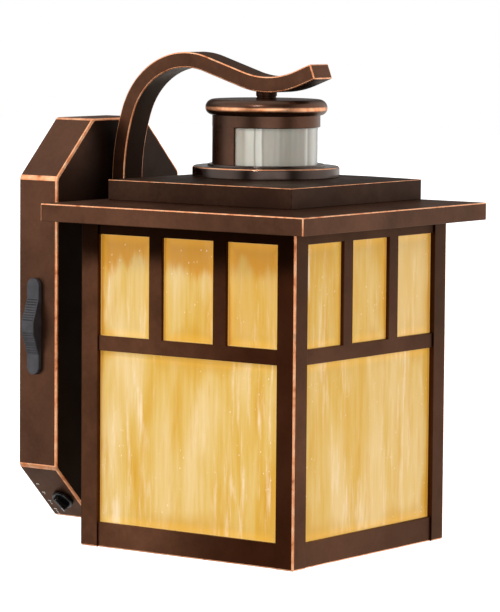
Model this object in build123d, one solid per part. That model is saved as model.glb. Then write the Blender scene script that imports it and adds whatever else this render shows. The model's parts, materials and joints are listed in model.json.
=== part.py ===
from build123d import *

import os
from math import asin, degrees, radians, sin, sqrt

# Outdoor wall lantern with a swan-neck arm and a motion-sensor head.
# Millimetres. The wall is the plane y = 0 and the lantern stands out along -Y.
# +X is to the right of someone facing the wall, +Z is up.
# The origin is the centre of the mounting strap, on the wall.

# ---- driving dimensions -------------------------------------------------------------

# Shared allowances: radial gaps round a close fit and in a clearance hole, the gap
# between parts that only lie together, and how far a cut runs past the face it opens.
SNUG = 0.05
EASY = 0.15
LAID = 0.1
BEYOND = 1.0

# Wall box: a shallow cast tray with its four corners cut off at 45 degrees.
BOX_WIDTH = 127.0
BOX_HEIGHT = 260.0
BOX_DEPTH = 30.5
BOX_CORNER = 37.0
BOX_WALL = 2.2
BOX_FRONT = 2.5
STANDOFF_R = 3.0
STANDOFF_HEIGHT = 3.6
STANDOFF_PILOT_R = 1.25
RIM_GASKET_WIDTH = 4.8
RIM_GASKET_THICK = 3.0

# Lantern body: a square cage hung in front of the wall box.
BODY_SIDE = 165.0
BODY_GAP = 35.3
BODY_BOTTOM = -136.1
WINDOW_LOW = -120.4
MID_RAIL_LOW = -11.9
MID_RAIL_HIGH = -2.6
WINDOW_HIGH = 61.0
POST_WIDTH = 13.3
POST_THICK = 1.2
FRAME_THICK = 2.4
FRAME_EDGE_COVER = 0.3
MUNTIN_WIDTH = 9.9
PANES_ACROSS = 3
GLASS_THICK = 3.0
GLASS_BUTT_GAP = 0.3
CHANNEL_THICK = 1.2
CHANNEL_HEIGHT = 10.0
PLATE_THICK = 1.8
RIM_BOTTOM = -134.6
RIM_MOUTH_HALF = 64.0
HEAD_MOUTH_HALF = 60.0
RETAINER_LEG = 10.0
RETAINER_THICK = 1.0

# Roof: a wide slab with a narrower tier on top of it.
SLAB_SIDE = 201.2
SLAB_BOTTOM = 68.6
SLAB_RIM = 79.6
SLAB_TOP = 81.8
SLAB_WALL = 1.8
SOFFIT_RECESS = 1.0
SOFFIT_THICK = 1.5
TIER_SIDE = 141.2
TIER_RIM = 94.4
TIER_TOP = 96.5
TIER_CROWN_SIDE = 94.0
TIER_WALL = 1.6
ROOF_SCREW_HALF = 66.0
ROOF_SCREW_R = 2.0
ROOF_SCREW_COVER = 1.0
WASHER_R = 20.0
WASHER_THICK = 1.6
NUT_FLAT_R = 8.5
NUT_HEIGHT = 5.0

# Sensor head: flange, drum, lens and rounded cap on one vertical axis.
FLANGE_R = 46.4
FLANGE_TOP = 103.2
FLANGE_ROUND = 1.6
FLANGE_WALL = 2.2
FLANGE_TOP_WALL = 2.0
FLANGE_BOSS_WALL = 4.0
STEP_R = 37.0
DRUM_BOTTOM = 104.5
DRUM_R = 34.0
DRUM_WALL = 1.4
LENS_TOP = 127.7
DRUM_TOP = 135.1
CAP_R = 38.4
CAP_TOP = 145.0
CAP_UPPER_ROUND = 5.3
CAP_LOWER_ROUND = 4.5
CAP_WALL = 3.0
LENS_THICK = 1.2
LENS_TUCK_SIDE = 3.4
LENS_TUCK_TOP = 2.0
BOARD_REST = 106.0
BOARD_REST_R = 2.5
BOARD_REST_FROM_AXIS = 24.0
SENSOR_BOARD_THICK = 1.6
HOLDER_HEIGHT = 12.0
DETECTOR_R = 4.4
DETECTOR_LENGTH = 4.0
DETECTOR_TURN = 55.0
PHOTOCELL_R = 2.6
PHOTOCELL_HEIGHT = 3.2
PHOTOCELL_FORWARD = 23.0
COLLAR_R = 6.6
NIPPLE_R = 5.15
NIPPLE_BORE_R = 3.3
NIPPLE_BOTTOM = 58.0
NIPPLE_TOP = 152.6

# Swan-neck arm: one flat bar section that runs up, over and down to the neck.
ARM_THICK = 9.85
ARM_WIDTH = 19.5
ARM_WALL = 1.8
ARM_PAD = 1.75
ARM_FOOT = 62.0
ARM_RISE = 90.3
RISE_R = 136.0
RISE_TURN = 19.5
CROOK_R = 49.5
CROOK_TURN = 87.9
DROP_LENGTH = 30.5
LIFT_R = 65.0
LIFT_TURN = 38.5
TIP_LENGTH = 12.7
ARM_SCREW_R = 2.0
ARM_SCREW_HEIGHTS = (68.0, 78.0)
ARM_SCREW_GRIP = 2.2
BACKING_PLATE_THICK = 2.0
BACKING_PLATE_HALF = 16.0
BACKING_PLATE_HEIGHT = 34.0
PAD_INSET = 0.6

# Supply lead inside the arm.
LEAD_R = 1.4
LEAD_BEND_R = 3.2
LEAD_HOLE_R = 2.6

# Wall fixings: a steel strap over the outlet box, and two studs through the wall box.
STRAP_WIDTH = 25.0
STRAP_LENGTH = 130.0
STRAP_THICK = 1.6
STRAP_SLOT_SPACING = 79.4
STRAP_SLOT_LENGTH = 14.3
STRAP_SLOT_WIDTH = 4.8
STRAP_WIRE_HOLE_R = 9.0
STUD_SPACING = 110.0
STUD_R = 2.05
STUD_END = 5.5
CAP_NUT_FLAT_R = 4.75
CAP_NUT_HEX = 3.6
CAP_NUT_DOME_R = 4.3
CAP_NUT_BORE = 5.8
GROUND_SCREW_R = 2.0
GROUND_SCREW_Z = 18.0

# Controls on the wall box.
SLIDE_Y = -13.2
SLIDE_Z = -2.3
SLIDE_LENGTH = 62.0
SLIDE_WIDTH = 10.2
SLIDE_END_HEIGHT = 2.8
SLIDE_PEAK_HEIGHT = 8.0
SLIDE_END_FLAT = 13.0
SLIDE_PEAK_FLAT = 7.0
SLIDE_TRAVEL = 5.0
SLIDE_RIBS = 9
SLIDE_RIB_WIDTH = 0.7
SLIDE_RIB_DEPTHS = {1: 0.5, -1: 0.25}
STEM_HALF_Y = 2.0
STEM_HALF_Z = 4.0
STEM_DEPTH = 6.0
STEM_SIDE_GAP = 0.2
SLIDE_SWITCH_DEPTH = 9.0
SLIDE_SWITCH_HALF_Y = 6.0
SLIDE_SWITCH_HALF_Z = 17.0
KNOB_ALONG_CORNER = 31.9
KNOB_Y = -18.0
KNOB_R = 7.2
KNOB_DISC = 2.2
KNOB_GRIP_HEIGHT = 3.8
KNOB_GRIP_LENGTH = 12.6
KNOB_GRIP_WIDTH = 3.6
KNOB_GRIP_TURN = 12.0
KNOB_CHAMFER = 0.5
KNOB_SHAFT_R = 3.0
SHAFT_REACH = 9.0
ROTARY_SWITCH_SIDE = 12.0
ROTARY_SWITCH_DEPTH = 8.2
MARK_SETTINGS = 4
MARK_PITCH = 8.6
MARK_ROW = 4.0
MARK_HEIGHT = 0.25
TICK_WIDTH = 0.8
TICK_LENGTH = 2.4
DOT_R = 0.5
DOT_PITCH = 1.7
RUNNING_CLEARANCE = 0.08
MOVING_GAP = 0.4

# Control board inside the wall box, with its components.
BOARD_X = (-30.0, 38.0)
BOARD_Z = (-100.0, -64.0)
BOARD_THICK = 1.6
BOARD_SCREW_INSET = 4.0
BOARD_SCREW_R = 1.2
RELAY_X = (14.0, 30.0)
RELAY_Z = (-92.0, -72.0)
RELAY_HEIGHT = 14.0
CAPACITOR_X = 4.0
CAPACITOR_Z = -82.0
CAPACITOR_R = 5.0
CAPACITOR_HEIGHT = 15.0
TERMINAL_WAYS = 3
TERMINAL_PITCH = 7.0
TERMINAL_X = -24.0
TERMINAL_TOP = -72.0
TERMINAL_LENGTH = 12.0
TERMINAL_HEIGHT = 10.0
TERMINAL_ENTRY_R = 1.7
TERMINAL_ENTRY_DEPTH = 6.0
TERMINAL_SCREW_R = 1.9
TERMINAL_SCREW_DEPTH = 2.0

# Lamp.
LAMPHOLDER_R = 20.0
LAMPHOLDER_TOP = 42.5
LAMPHOLDER_BOTTOM = 4.5
SOCKET_R = 14.3
SOCKET_TOP = 34.5
BULB_R = 30.0
BULB_WALL = 0.9
BULB_CENTRE_Z = -45.0
BULB_BASE_R = 13.0
BULB_BASE_BOTTOM = 6.0
BULB_BASE_TOP = 28.0
BULB_TIP_TOP = 30.6
BULB_TIP_R = 4.5
BULB_SHOULDER_R = 38.0
BULB_NECK_R = 40.0
BULB_SHOULDER_TURN = 38.0
BULB_CAP_WALL = 0.6
LAMPHOLDER_ROUND = 1.5
LAMP_SCREW_X = 9.0
LAMP_SCREW_R = 1.5
LAMP_SCREW_REACH = 5.5
SCREW_SHELL_Z = (10.0, 32.0)
SCREW_SHELL_WALL = 0.6
CONTACT_R = 4.0
CONTACT_GAP = 0.4
BRACKET_X = (-15.0, 27.0)
BRACKET_HALF_WIDTH = 8.0
BRACKET_THICK = 1.5
BRACKET_WIRE_HOLE_R = 3.0

# The four sides and corners of the body, each by its turn from the front.
FACES = {"front": 0, "right": 90, "back": 180, "left": 270}
CORNERS = {"front_left": 0, "front_right": 90, "back_right": 180, "back_left": 270}

# ---- places worked out from them ----------------------------------------------------

BODY_HALF = BODY_SIDE / 2
BODY_Y = -(BOX_DEPTH + BODY_GAP + BODY_HALF)
SOFFIT_BOTTOM = SLAB_BOTTOM + SOFFIT_RECESS
SOFFIT_TOP = SOFFIT_BOTTOM + SOFFIT_THICK
FRAME_OUT = BODY_HALF - POST_THICK
FRAME_IN = FRAME_OUT - FRAME_THICK
GLASS_OUT = FRAME_IN - LAID
GLASS_IN = GLASS_OUT - GLASS_THICK
CHANNEL_OUT = GLASS_IN - 2 * LAID
GLASS_BOTTOM = RIM_BOTTOM + PLATE_THICK + LAID
TOP_PLATE_BOTTOM = SOFFIT_BOTTOM - PLATE_THICK
GLASS_TOP = TOP_PLATE_BOTTOM - 2 * LAID
BRACKET_TOP = SOFFIT_BOTTOM - WASHER_THICK
NUT_TOP = BRACKET_TOP - BRACKET_THICK
SENSOR_BOARD_TOP = BOARD_REST + SENSOR_BOARD_THICK
ARM_Y = -(BOX_DEPTH + ARM_PAD + ARM_THICK / 2)
LEAD_HOLE_Z = ARM_RISE - LEAD_BEND_R
BOX_INSIDE = -(BOX_DEPTH - BOX_FRONT)
ARM_SCREW_HEAD_BACK = BOX_INSIDE + BACKING_PLATE_THICK
BOARD_FRONT = BOX_INSIDE + STANDOFF_HEIGHT
BOARD_BACK = BOARD_FRONT + BOARD_THICK
BORE_R = NIPPLE_R + EASY

UP = (Align.CENTER, Align.CENTER, Align.MIN)

# The arm is drawn in a plane whose first axis runs away from the wall.
ARM_PLANE = Plane(origin=(0, 0, 0), x_dir=(0, -1, 0), z_dir=(-1, 0, 0))

# The knob's plane lies on the lower left cut corner, with its normal pointing outward
# and its first axis running down the corner.
CORNER_STEP = KNOB_ALONG_CORNER / sqrt(2)
KNOB_X = -BOX_WIDTH / 2 + CORNER_STEP
KNOB_Z = -BOX_HEIGHT / 2 + BOX_CORNER - CORNER_STEP
KNOB_PLANE = Plane(origin=(KNOB_X, KNOB_Y, KNOB_Z), x_dir=(1, 0, -1), z_dir=(-1, 0, -1))


# ---- shared shapes ------------------------------------------------------------------

def block(x, y, z):
    """A box from three (low, high) pairs."""
    size = (x[1] - x[0], y[1] - y[0], z[1] - z[0])
    centre = ((x[0] + x[1]) / 2, (y[0] + y[1]) / 2, (z[0] + z[1]) / 2)
    return Pos(*centre) * Box(*size)


def square_block(half, low, high):
    """A square prism around the lantern's vertical axis."""
    return Pos(0, BODY_Y, low) * Box(2 * half, 2 * half, high - low, align=UP)


def square_taper(half_low, half_high, low, high):
    """A square frustum around the lantern's vertical axis."""
    foot = Pos(0, BODY_Y, low) * Rectangle(2 * half_low, 2 * half_low)
    crown = Pos(0, BODY_Y, high) * Rectangle(2 * half_high, 2 * half_high)
    return loft([foot.face(), crown.face()])


def square_ring(half_out, half_in, low, high):
    return square_block(half_out, low, high) - square_block(half_in, low - BEYOND, high + BEYOND)


def drum(radius, low, high, x=0.0, y=BODY_Y):
    """A vertical cylinder, by default on the lantern's own axis."""
    return Pos(x, y, low) * Cylinder(radius, high - low, align=UP)


def prism(corners, low, high):
    """A vertical prism over a plan outline drawn about the Z axis."""
    plan = Pos(0, 0, low) * Polygon(*corners, align=None)
    return extrude(plan, high - low, dir=(0, 0, 1))


def tube(radius_out, radius_in, low, high, x=0.0, y=BODY_Y):
    return drum(radius_out, low, high, x, y) - drum(radius_in, low - BEYOND, high + BEYOND, x, y)


def peg(radius, x, z, back, front):
    """A cylinder along Y, from the wall side (back) out to the front."""
    return Pos(x, back, z) * Rot(90, 0, 0) * Cylinder(radius, back - front, align=UP)


def around_body(turn, solid):
    """Turns a solid drawn about the Z axis and moves it to the lantern's axis."""
    return Pos(0, BODY_Y, 0) * Rot(0, 0, turn) * solid


def pan_screw(radius, length, head_r, head_height):
    """A slotted pan-head screw along +Z, with its head below z = 0. The slot follows the head's size."""
    shank = Cylinder(radius, length, align=UP)
    head = Pos(0, 0, -head_height) * Cylinder(head_r, head_height, align=UP)
    slot = Pos(0, 0, -head_height) * Box(3 * head_r, 0.25 * head_r, 0.8 * head_height)
    return shank + head - slot


# ---- wall box and its fixings -------------------------------------------------------

def box_face(inset):
    """The long octagon of the wall box, drawn in by an inset on every side."""
    half_w = BOX_WIDTH / 2 - inset
    half_h = BOX_HEIGHT / 2 - inset
    cut = BOX_CORNER - inset * (2 - sqrt(2))
    quarter = [(half_w, half_h - cut), (half_w - cut, half_h)]
    left = [(-x, z) for x, z in reversed(quarter)]
    bottom = [(-x, -z) for x, z in quarter + left]
    return Plane.XZ * Polygon(*quarter, *left, *bottom, align=None)


def wall_box():
    shell = extrude(box_face(0), BOX_DEPTH) - extrude(box_face(BOX_WALL), BOX_DEPTH - BOX_FRONT)
    front = -BOX_DEPTH - BEYOND
    for x, z in board_screw_places():
        shell += peg(STANDOFF_R, x, z, BOARD_FRONT, BOX_INSIDE - 0.5 * BOX_FRONT)
        shell -= peg(STANDOFF_PILOT_R, x, z, BOARD_FRONT + BEYOND, BOX_INSIDE)
    for side in (-1, 1):
        shell -= peg(STUD_R + 2 * EASY, 0, side * STUD_SPACING / 2, BOX_INSIDE + BEYOND, front)
    for z in ARM_SCREW_HEIGHTS:
        shell -= peg(ARM_SCREW_R + EASY, 0, z, BOX_INSIDE + BEYOND, front)
    shell -= peg(LEAD_HOLE_R, 0, LEAD_HOLE_Z, BOX_INSIDE + BEYOND, front)
    slot_half_z = STEM_HALF_Z + SLIDE_TRAVEL + MOVING_GAP
    shell -= stem_block(slot_half_z, STEM_HALF_Y + STEM_SIDE_GAP, BOX_WALL + BEYOND)
    bore = Cylinder(KNOB_SHAFT_R + RUNNING_CLEARANCE, 4 * BOX_WALL)
    return shell - KNOB_PLANE * bore


def wall_gasket():
    """A foam ring just inside the rim of the wall box, against the wall."""
    inset = BOX_WALL + 2 * LAID
    ring = extrude(box_face(inset), RIM_GASKET_THICK)
    return ring - extrude(box_face(inset + RIM_GASKET_WIDTH), RIM_GASKET_THICK)


def mounting_strap():
    half_w, half_l = STRAP_WIDTH / 2, STRAP_LENGTH / 2
    strap = block((-half_w, half_w), (-STRAP_THICK, 0), (-half_l, half_l))
    slot_face = Plane.XZ * SlotOverall(STRAP_SLOT_LENGTH, STRAP_SLOT_WIDTH, rotation=90)
    front = -STRAP_THICK - BEYOND
    for side in (-1, 1):
        slot = extrude(slot_face, STRAP_THICK + 2 * BEYOND)
        strap -= Pos(0, BEYOND, side * STRAP_SLOT_SPACING / 2) * slot
        strap -= peg(STUD_R + SNUG, 0, side * STUD_SPACING / 2, BEYOND, front)
    strap -= peg(STRAP_WIRE_HOLE_R, 0, 0, BEYOND, front)
    return strap - peg(GROUND_SCREW_R + SNUG, 0, GROUND_SCREW_Z, BEYOND, front)


def ground_screw():
    screw = pan_screw(GROUND_SCREW_R, STRAP_THICK, 4.0, 2.2)
    return Pos(0, -STRAP_THICK, GROUND_SCREW_Z) * Rot(-90, 0, 0) * screw


def mounting_studs():
    return [peg(STUD_R, 0, side * STUD_SPACING / 2, 0, -BOX_DEPTH - STUD_END) for side in (-1, 1)]


def cap_nut(z):
    """An acorn nut: a short hexagon with a domed end."""
    hexagon = Plane.XZ * RegularPolygon(CAP_NUT_FLAT_R, 6, major_radius=False)
    nut = Pos(0, -BOX_DEPTH, z) * extrude(hexagon, CAP_NUT_HEX)
    nut += Pos(0, -BOX_DEPTH - CAP_NUT_HEX, z) * Sphere(CAP_NUT_DOME_R)
    return nut - peg(STUD_R + SNUG, 0, z, -BOX_DEPTH + BEYOND, -BOX_DEPTH - CAP_NUT_BORE)


# ---- controls -----------------------------------------------------------------------

def stem_block(half_z, half_y, depth, start=BEYOND):
    """A block through the left side wall, from outside it to a depth inside."""
    face = -BOX_WIDTH / 2
    return block((face - start, face + depth),
                 (SLIDE_Y - half_y, SLIDE_Y + half_y),
                 (SLIDE_Z - half_z, SLIDE_Z + half_z))


def slide_profile():
    """The side outline of the slider: two flat ends and two ribbed slopes up to a flat peak."""
    half = SLIDE_LENGTH / 2 + BEYOND
    shoulder = SLIDE_LENGTH / 2 - SLIDE_END_FLAT
    peak = SLIDE_PEAK_FLAT / 2
    heights = [(half, 0), (half, SLIDE_END_HEIGHT), (shoulder, SLIDE_END_HEIGHT), (peak, SLIDE_PEAK_HEIGHT)]
    upper = [(-BOX_WIDTH / 2 - MOVING_GAP - h, SLIDE_Z + z) for z, h in heights]
    lower = [(-BOX_WIDTH / 2 - MOVING_GAP - h, SLIDE_Z - z) for z, h in reversed(heights)]
    return Plane.XZ * Polygon(*upper, *lower, align=None)


def slide_control():
    """A peaked thumb slider with ribbed slopes, and the stem that reaches the switch."""
    face = Plane(origin=(-BOX_WIDTH / 2 - MOVING_GAP, SLIDE_Y, SLIDE_Z), x_dir=(0, 0, 1), z_dir=(-1, 0, 0))
    outline = extrude(face * SlotOverall(SLIDE_LENGTH, SLIDE_WIDTH), SLIDE_PEAK_HEIGHT + BEYOND)
    profile = extrude(slide_profile(), SLIDE_WIDTH, both=True)
    slider = outline & (Pos(0, SLIDE_Y, 0) * profile)
    slope_run = SLIDE_LENGTH / 2 - SLIDE_END_FLAT - SLIDE_PEAK_FLAT / 2
    slope_rise = SLIDE_PEAK_HEIGHT - SLIDE_END_HEIGHT
    for side, depth in SLIDE_RIB_DEPTHS.items():
        for rib in range(SLIDE_RIBS):
            along = (rib + 0.5) / SLIDE_RIBS
            z = SLIDE_Z + side * (SLIDE_PEAK_FLAT / 2 + slope_run * (1 - along))
            x = -BOX_WIDTH / 2 - MOVING_GAP - SLIDE_END_HEIGHT - slope_rise * along
            slider -= Pos(x, SLIDE_Y, z) * Box(2 * depth, SLIDE_WIDTH + BEYOND, SLIDE_RIB_WIDTH)
    stem = stem_block(STEM_HALF_Z, STEM_HALF_Y, STEM_DEPTH, MOVING_GAP)
    return slider + stem


def slide_switch():
    """The switch body behind the side wall, with a slot that the stem runs in."""
    inner_face = -BOX_WIDTH / 2 + BOX_WALL
    body = block((inner_face + LAID, inner_face + SLIDE_SWITCH_DEPTH),
                 (SLIDE_Y - SLIDE_SWITCH_HALF_Y, SLIDE_Y + SLIDE_SWITCH_HALF_Y),
                 (SLIDE_Z - SLIDE_SWITCH_HALF_Z, SLIDE_Z + SLIDE_SWITCH_HALF_Z))
    slot_half_z = STEM_HALF_Z + SLIDE_TRAVEL + MOVING_GAP
    return body - stem_block(slot_half_z, STEM_HALF_Y + STEM_SIDE_GAP, STEM_DEPTH + MOVING_GAP)


def selector_knob():
    """A disc with a finger bar across it, on a plain shaft."""
    disc = Pos(0, 0, MOVING_GAP) * Cylinder(KNOB_R, KNOB_DISC, align=UP)
    disc = chamfer(disc.edges().group_by(Axis.Z)[-1], KNOB_CHAMFER)
    grip_outline = SlotOverall(KNOB_GRIP_LENGTH, KNOB_GRIP_WIDTH, rotation=KNOB_GRIP_TURN)
    grip = extrude(Pos(0, 0, MOVING_GAP + KNOB_DISC) * grip_outline, KNOB_GRIP_HEIGHT)
    shaft = Pos(0, 0, -SHAFT_REACH) * Cylinder(KNOB_SHAFT_R, SHAFT_REACH + MOVING_GAP, align=UP)
    return KNOB_PLANE * (disc + grip + shaft)


def rotary_switch():
    """The selector's switch body, square to the inside of the cut corner."""
    back = -BOX_WALL - LAID - ROTARY_SWITCH_DEPTH
    body = Pos(0, 0, back) * Box(ROTARY_SWITCH_SIDE, ROTARY_SWITCH_SIDE, ROTARY_SWITCH_DEPTH, align=UP)
    shaft_end = -SHAFT_REACH - 3 * LAID
    bore = Pos(0, 0, shaft_end) * Cylinder(KNOB_SHAFT_R + RUNNING_CLEARANCE, SHAFT_REACH, align=UP)
    return KNOB_PLANE * (body - bore)


def dial_marks():
    """A row of low raised ticks and dots beside the knob, one group for each setting."""
    row = KNOB_Y + MARK_ROW
    tick = Box(TICK_WIDTH, TICK_LENGTH, MARK_HEIGHT, align=UP)
    dot = Cylinder(DOT_R, MARK_HEIGHT, align=UP)
    marks = []
    for setting in range(MARK_SETTINGS):
        centre = (setting - (MARK_SETTINGS - 1) / 2) * MARK_PITCH
        marks.append(KNOB_PLANE * Pos(centre, row, 0) * tick)
        for step in range(setting):
            marks.append(KNOB_PLANE * Pos(centre + DOT_PITCH * (step + 1), row, 0) * dot)
    return marks


def board_screw_places():
    xs = (BOARD_X[0] + BOARD_SCREW_INSET, BOARD_X[1] - BOARD_SCREW_INSET)
    zs = (BOARD_Z[0] + BOARD_SCREW_INSET, BOARD_Z[1] - BOARD_SCREW_INSET)
    return [(x, z) for x in xs for z in zs]


def control_board():
    board = block(BOARD_X, (BOARD_FRONT, BOARD_BACK), BOARD_Z)
    for x, z in board_screw_places():
        board -= peg(BOARD_SCREW_R + 2 * LAID, x, z, BOARD_BACK + BEYOND, BOARD_FRONT - BEYOND)
    return board


def board_screws():
    screw = pan_screw(BOARD_SCREW_R, 4.6, 2.4, 1.4)
    return [Pos(x, BOARD_BACK, z) * Rot(90, 0, 0) * screw for x, z in board_screw_places()]


def relay():
    return block(RELAY_X, (BOARD_BACK, BOARD_BACK + RELAY_HEIGHT), RELAY_Z)


def capacitor():
    return peg(CAPACITOR_R, CAPACITOR_X, CAPACITOR_Z, BOARD_BACK + CAPACITOR_HEIGHT, BOARD_BACK)


def terminal_block():
    """Three screw terminals in a row, each with its wire entry facing up."""
    face = BOARD_BACK + TERMINAL_HEIGHT
    middle_z = TERMINAL_TOP - TERMINAL_LENGTH / 2
    body = block((TERMINAL_X, TERMINAL_X + TERMINAL_WAYS * TERMINAL_PITCH), (BOARD_BACK, face),
                 (TERMINAL_TOP - TERMINAL_LENGTH, TERMINAL_TOP))
    entry = Cylinder(TERMINAL_ENTRY_R, TERMINAL_ENTRY_DEPTH + BEYOND, align=UP)
    for way in range(TERMINAL_WAYS):
        x = TERMINAL_X + (way + 0.5) * TERMINAL_PITCH
        body -= Pos(x, (BOARD_BACK + face) / 2, TERMINAL_TOP - TERMINAL_ENTRY_DEPTH) * entry
        body -= peg(TERMINAL_SCREW_R, x, middle_z, face + BEYOND, face - TERMINAL_SCREW_DEPTH)
    return body


# ---- swan-neck arm ------------------------------------------------------------------

def arm_side(offset, foot):
    """One side of the arm, at an offset to the left of its middle line, from foot to tip."""
    start = (-ARM_Y - offset, foot)
    rise = Line(start, (start[0], ARM_RISE))
    lean = JernArc(rise @ 1, rise % 1, RISE_R + offset, -RISE_TURN)
    crook = JernArc(lean @ 1, lean % 1, CROOK_R + offset, -CROOK_TURN)
    drop = Line(crook @ 1, crook @ 1 + (crook % 1) * DROP_LENGTH)
    lift = JernArc(drop @ 1, drop % 1, LIFT_R - offset, LIFT_TURN)
    return [rise, lean, crook, drop, lift]


def arm_prism(thick, width, foot, tip):
    """A solid bar that follows the arm's middle line."""
    top = arm_side(thick / 2, foot)
    under = arm_side(-thick / 2, foot)
    top.append(Line(top[-1] @ 1, top[-1] @ 1 + (top[-1] % 1) * tip))
    under.append(Line(under[-1] @ 1, under[-1] @ 1 + (under[-1] % 1) * tip))
    ends = [Line(top[0] @ 0, under[0] @ 0), Line(top[-1] @ 1, under[-1] @ 1)]
    face = make_face(Curve() + top + under + ends)
    return extrude(ARM_PLANE * face, width / 2, both=True)


def solid_arm():
    return arm_prism(ARM_THICK, ARM_WIDTH, ARM_FOOT, TIP_LENGTH)


def swan_neck_arm():
    """The arm, hollow for the lead from just below its entry hole to the tip."""
    both_walls = 2 * ARM_WALL
    hollow_foot = LEAD_HOLE_Z - 4.0
    hollow = arm_prism(ARM_THICK - both_walls, ARM_WIDTH - both_walls, hollow_foot, TIP_LENGTH - ARM_WALL)
    arm = solid_arm() - hollow
    for z in ARM_SCREW_HEIGHTS:
        arm -= peg(ARM_SCREW_R + SNUG, 0, z, ARM_Y + ARM_THICK, ARM_Y - ARM_SCREW_GRIP - MOVING_GAP)
    arm -= peg(LEAD_HOLE_R, 0, LEAD_HOLE_Z, ARM_Y + ARM_THICK, ARM_Y)
    return arm - drum(NIPPLE_R + SNUG, CAP_TOP, NIPPLE_TOP)


def arm_screws():
    length = ARM_SCREW_HEAD_BACK - (ARM_Y - ARM_SCREW_GRIP)
    screw = pan_screw(ARM_SCREW_R, length, 3.6, 2.3)
    return [Pos(0, ARM_SCREW_HEAD_BACK, z) * Rot(90, 0, 0) * screw for z in ARM_SCREW_HEIGHTS]


def arm_backing_plate():
    """A steel stiffener inside the wall box, behind the arm's foot."""
    plate = block((-BACKING_PLATE_HALF, BACKING_PLATE_HALF), (BOX_INSIDE, ARM_SCREW_HEAD_BACK),
                  (ARM_FOOT, ARM_FOOT + BACKING_PLATE_HEIGHT))
    for z in ARM_SCREW_HEIGHTS:
        plate -= peg(ARM_SCREW_R + EASY, 0, z, 0, -BOX_DEPTH)
    return plate - peg(LEAD_HOLE_R, 0, LEAD_HOLE_Z, 0, -BOX_DEPTH)


def arm_gasket():
    half = ARM_WIDTH / 2 - PAD_INSET
    pad = block((-half, half), (-BOX_DEPTH - ARM_PAD, -BOX_DEPTH), (ARM_FOOT + PAD_INSET, ARM_RISE))
    for z in ARM_SCREW_HEIGHTS:
        pad -= peg(ARM_SCREW_R + EASY, 0, z, 0, -BOX_DEPTH - ARM_THICK)
    return pad - peg(LEAD_HOLE_R, 0, LEAD_HOLE_Z, 0, -BOX_DEPTH - ARM_THICK)


def arm_leads():
    """The supply lead: from the terminals, up the arm's middle and down the neck to the lampholder."""
    start = (TERMINAL_X + 1.5 * TERMINAL_PITCH, BOARD_BACK + TERMINAL_HEIGHT / 2, TERMINAL_TOP)
    lane_y = BOX_INSIDE + 8
    corners = [start, (start[0], start[1], 20), (-12, lane_y, LEAD_HOLE_Z - 18),
               (0, lane_y + 3, LEAD_HOLE_Z), (0, ARM_Y + LEAD_BEND_R, LEAD_HOLE_Z)]
    inside = FilletPolyline(*corners, radius=[40.0, 14.0, 4.5])
    turn_up = JernArc((-ARM_Y - LEAD_BEND_R, LEAD_HOLE_Z), (1, 0), LEAD_BEND_R, 90)
    lean = JernArc(turn_up @ 1, turn_up % 1, RISE_R, -RISE_TURN)
    crook = JernArc(lean @ 1, lean % 1, CROOK_R, -CROOK_TURN)
    drop = Line(crook @ 1, crook @ 1 + (crook % 1) * DROP_LENGTH)
    # Along the last stretch the heading climbs from the drop's slope. The lead leaves it
    # at the heading from which its bend ends on the neck's axis.
    slope = radians(90 - RISE_TURN - CROOK_TURN)
    reach = -BODY_Y - (drop @ 1).X + LIFT_R * sin(slope) - LEAD_BEND_R
    leave = asin(reach / (LIFT_R + LEAD_BEND_R))
    lift = JernArc(drop @ 1, drop % 1, LIFT_R, degrees(leave - slope))
    turn_down = JernArc(lift @ 1, lift % 1, LEAD_BEND_R, -90 - degrees(leave))
    fall = Line(turn_down @ 1, (-BODY_Y, LAMPHOLDER_TOP))
    in_arm = [ARM_PLANE * edge for edge in (turn_up, lean, crook, drop, lift, turn_down, fall)]
    route = Wire(inside.edges() + [edge.edge() for edge in in_arm])
    section = Plane(origin=start, z_dir=(0, 0, 1)) * Circle(LEAD_R)
    return sweep(section, path=route)


# ---- neck and sensor head -----------------------------------------------------------

def neck_collar():
    """The short sleeve between the cap and the arm, cut to the arm's underside."""
    return tube(COLLAR_R, BORE_R, CAP_TOP, NIPPLE_TOP) - solid_arm()


def centre_nipple():
    """The threaded tube that hangs the lantern from the arm."""
    return tube(NIPPLE_R, NIPPLE_BORE_R, NIPPLE_BOTTOM, NIPPLE_TOP)


def sensor_cap():
    cap = drum(CAP_R, DRUM_TOP, CAP_TOP)
    cap = fillet(cap.edges().group_by(Axis.Z)[-1], CAP_UPPER_ROUND)
    cap = fillet(cap.edges().group_by(Axis.Z)[0], CAP_LOWER_ROUND)
    cap -= drum(DRUM_R - CAP_WALL, DRUM_TOP, CAP_TOP - CAP_WALL)
    return cap - drum(BORE_R, DRUM_TOP, CAP_TOP + BEYOND)


def sensor_housing():
    """The drum: a full ring under the cap, and below it only the half that faces the wall."""
    shell = tube(DRUM_R, DRUM_R - DRUM_WALL, DRUM_BOTTOM, DRUM_TOP)
    aside = 2 * DRUM_R
    return shell - block((-aside, aside), (BODY_Y - aside, BODY_Y), (DRUM_BOTTOM - BEYOND, LENS_TOP))


def sensor_lens():
    """The half-round lens, tucked a little behind the drum at its two ends and its top."""
    outer = DRUM_R - DRUM_WALL - LAID
    shell = tube(outer, outer - LENS_THICK, DRUM_BOTTOM, LENS_TOP + LENS_TUCK_TOP)
    aside = 2 * DRUM_R
    behind = (BODY_Y + LENS_TUCK_SIDE, BODY_Y + aside)
    return shell - block((-aside, aside), behind, (DRUM_BOTTOM - BEYOND, DRUM_TOP))


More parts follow.
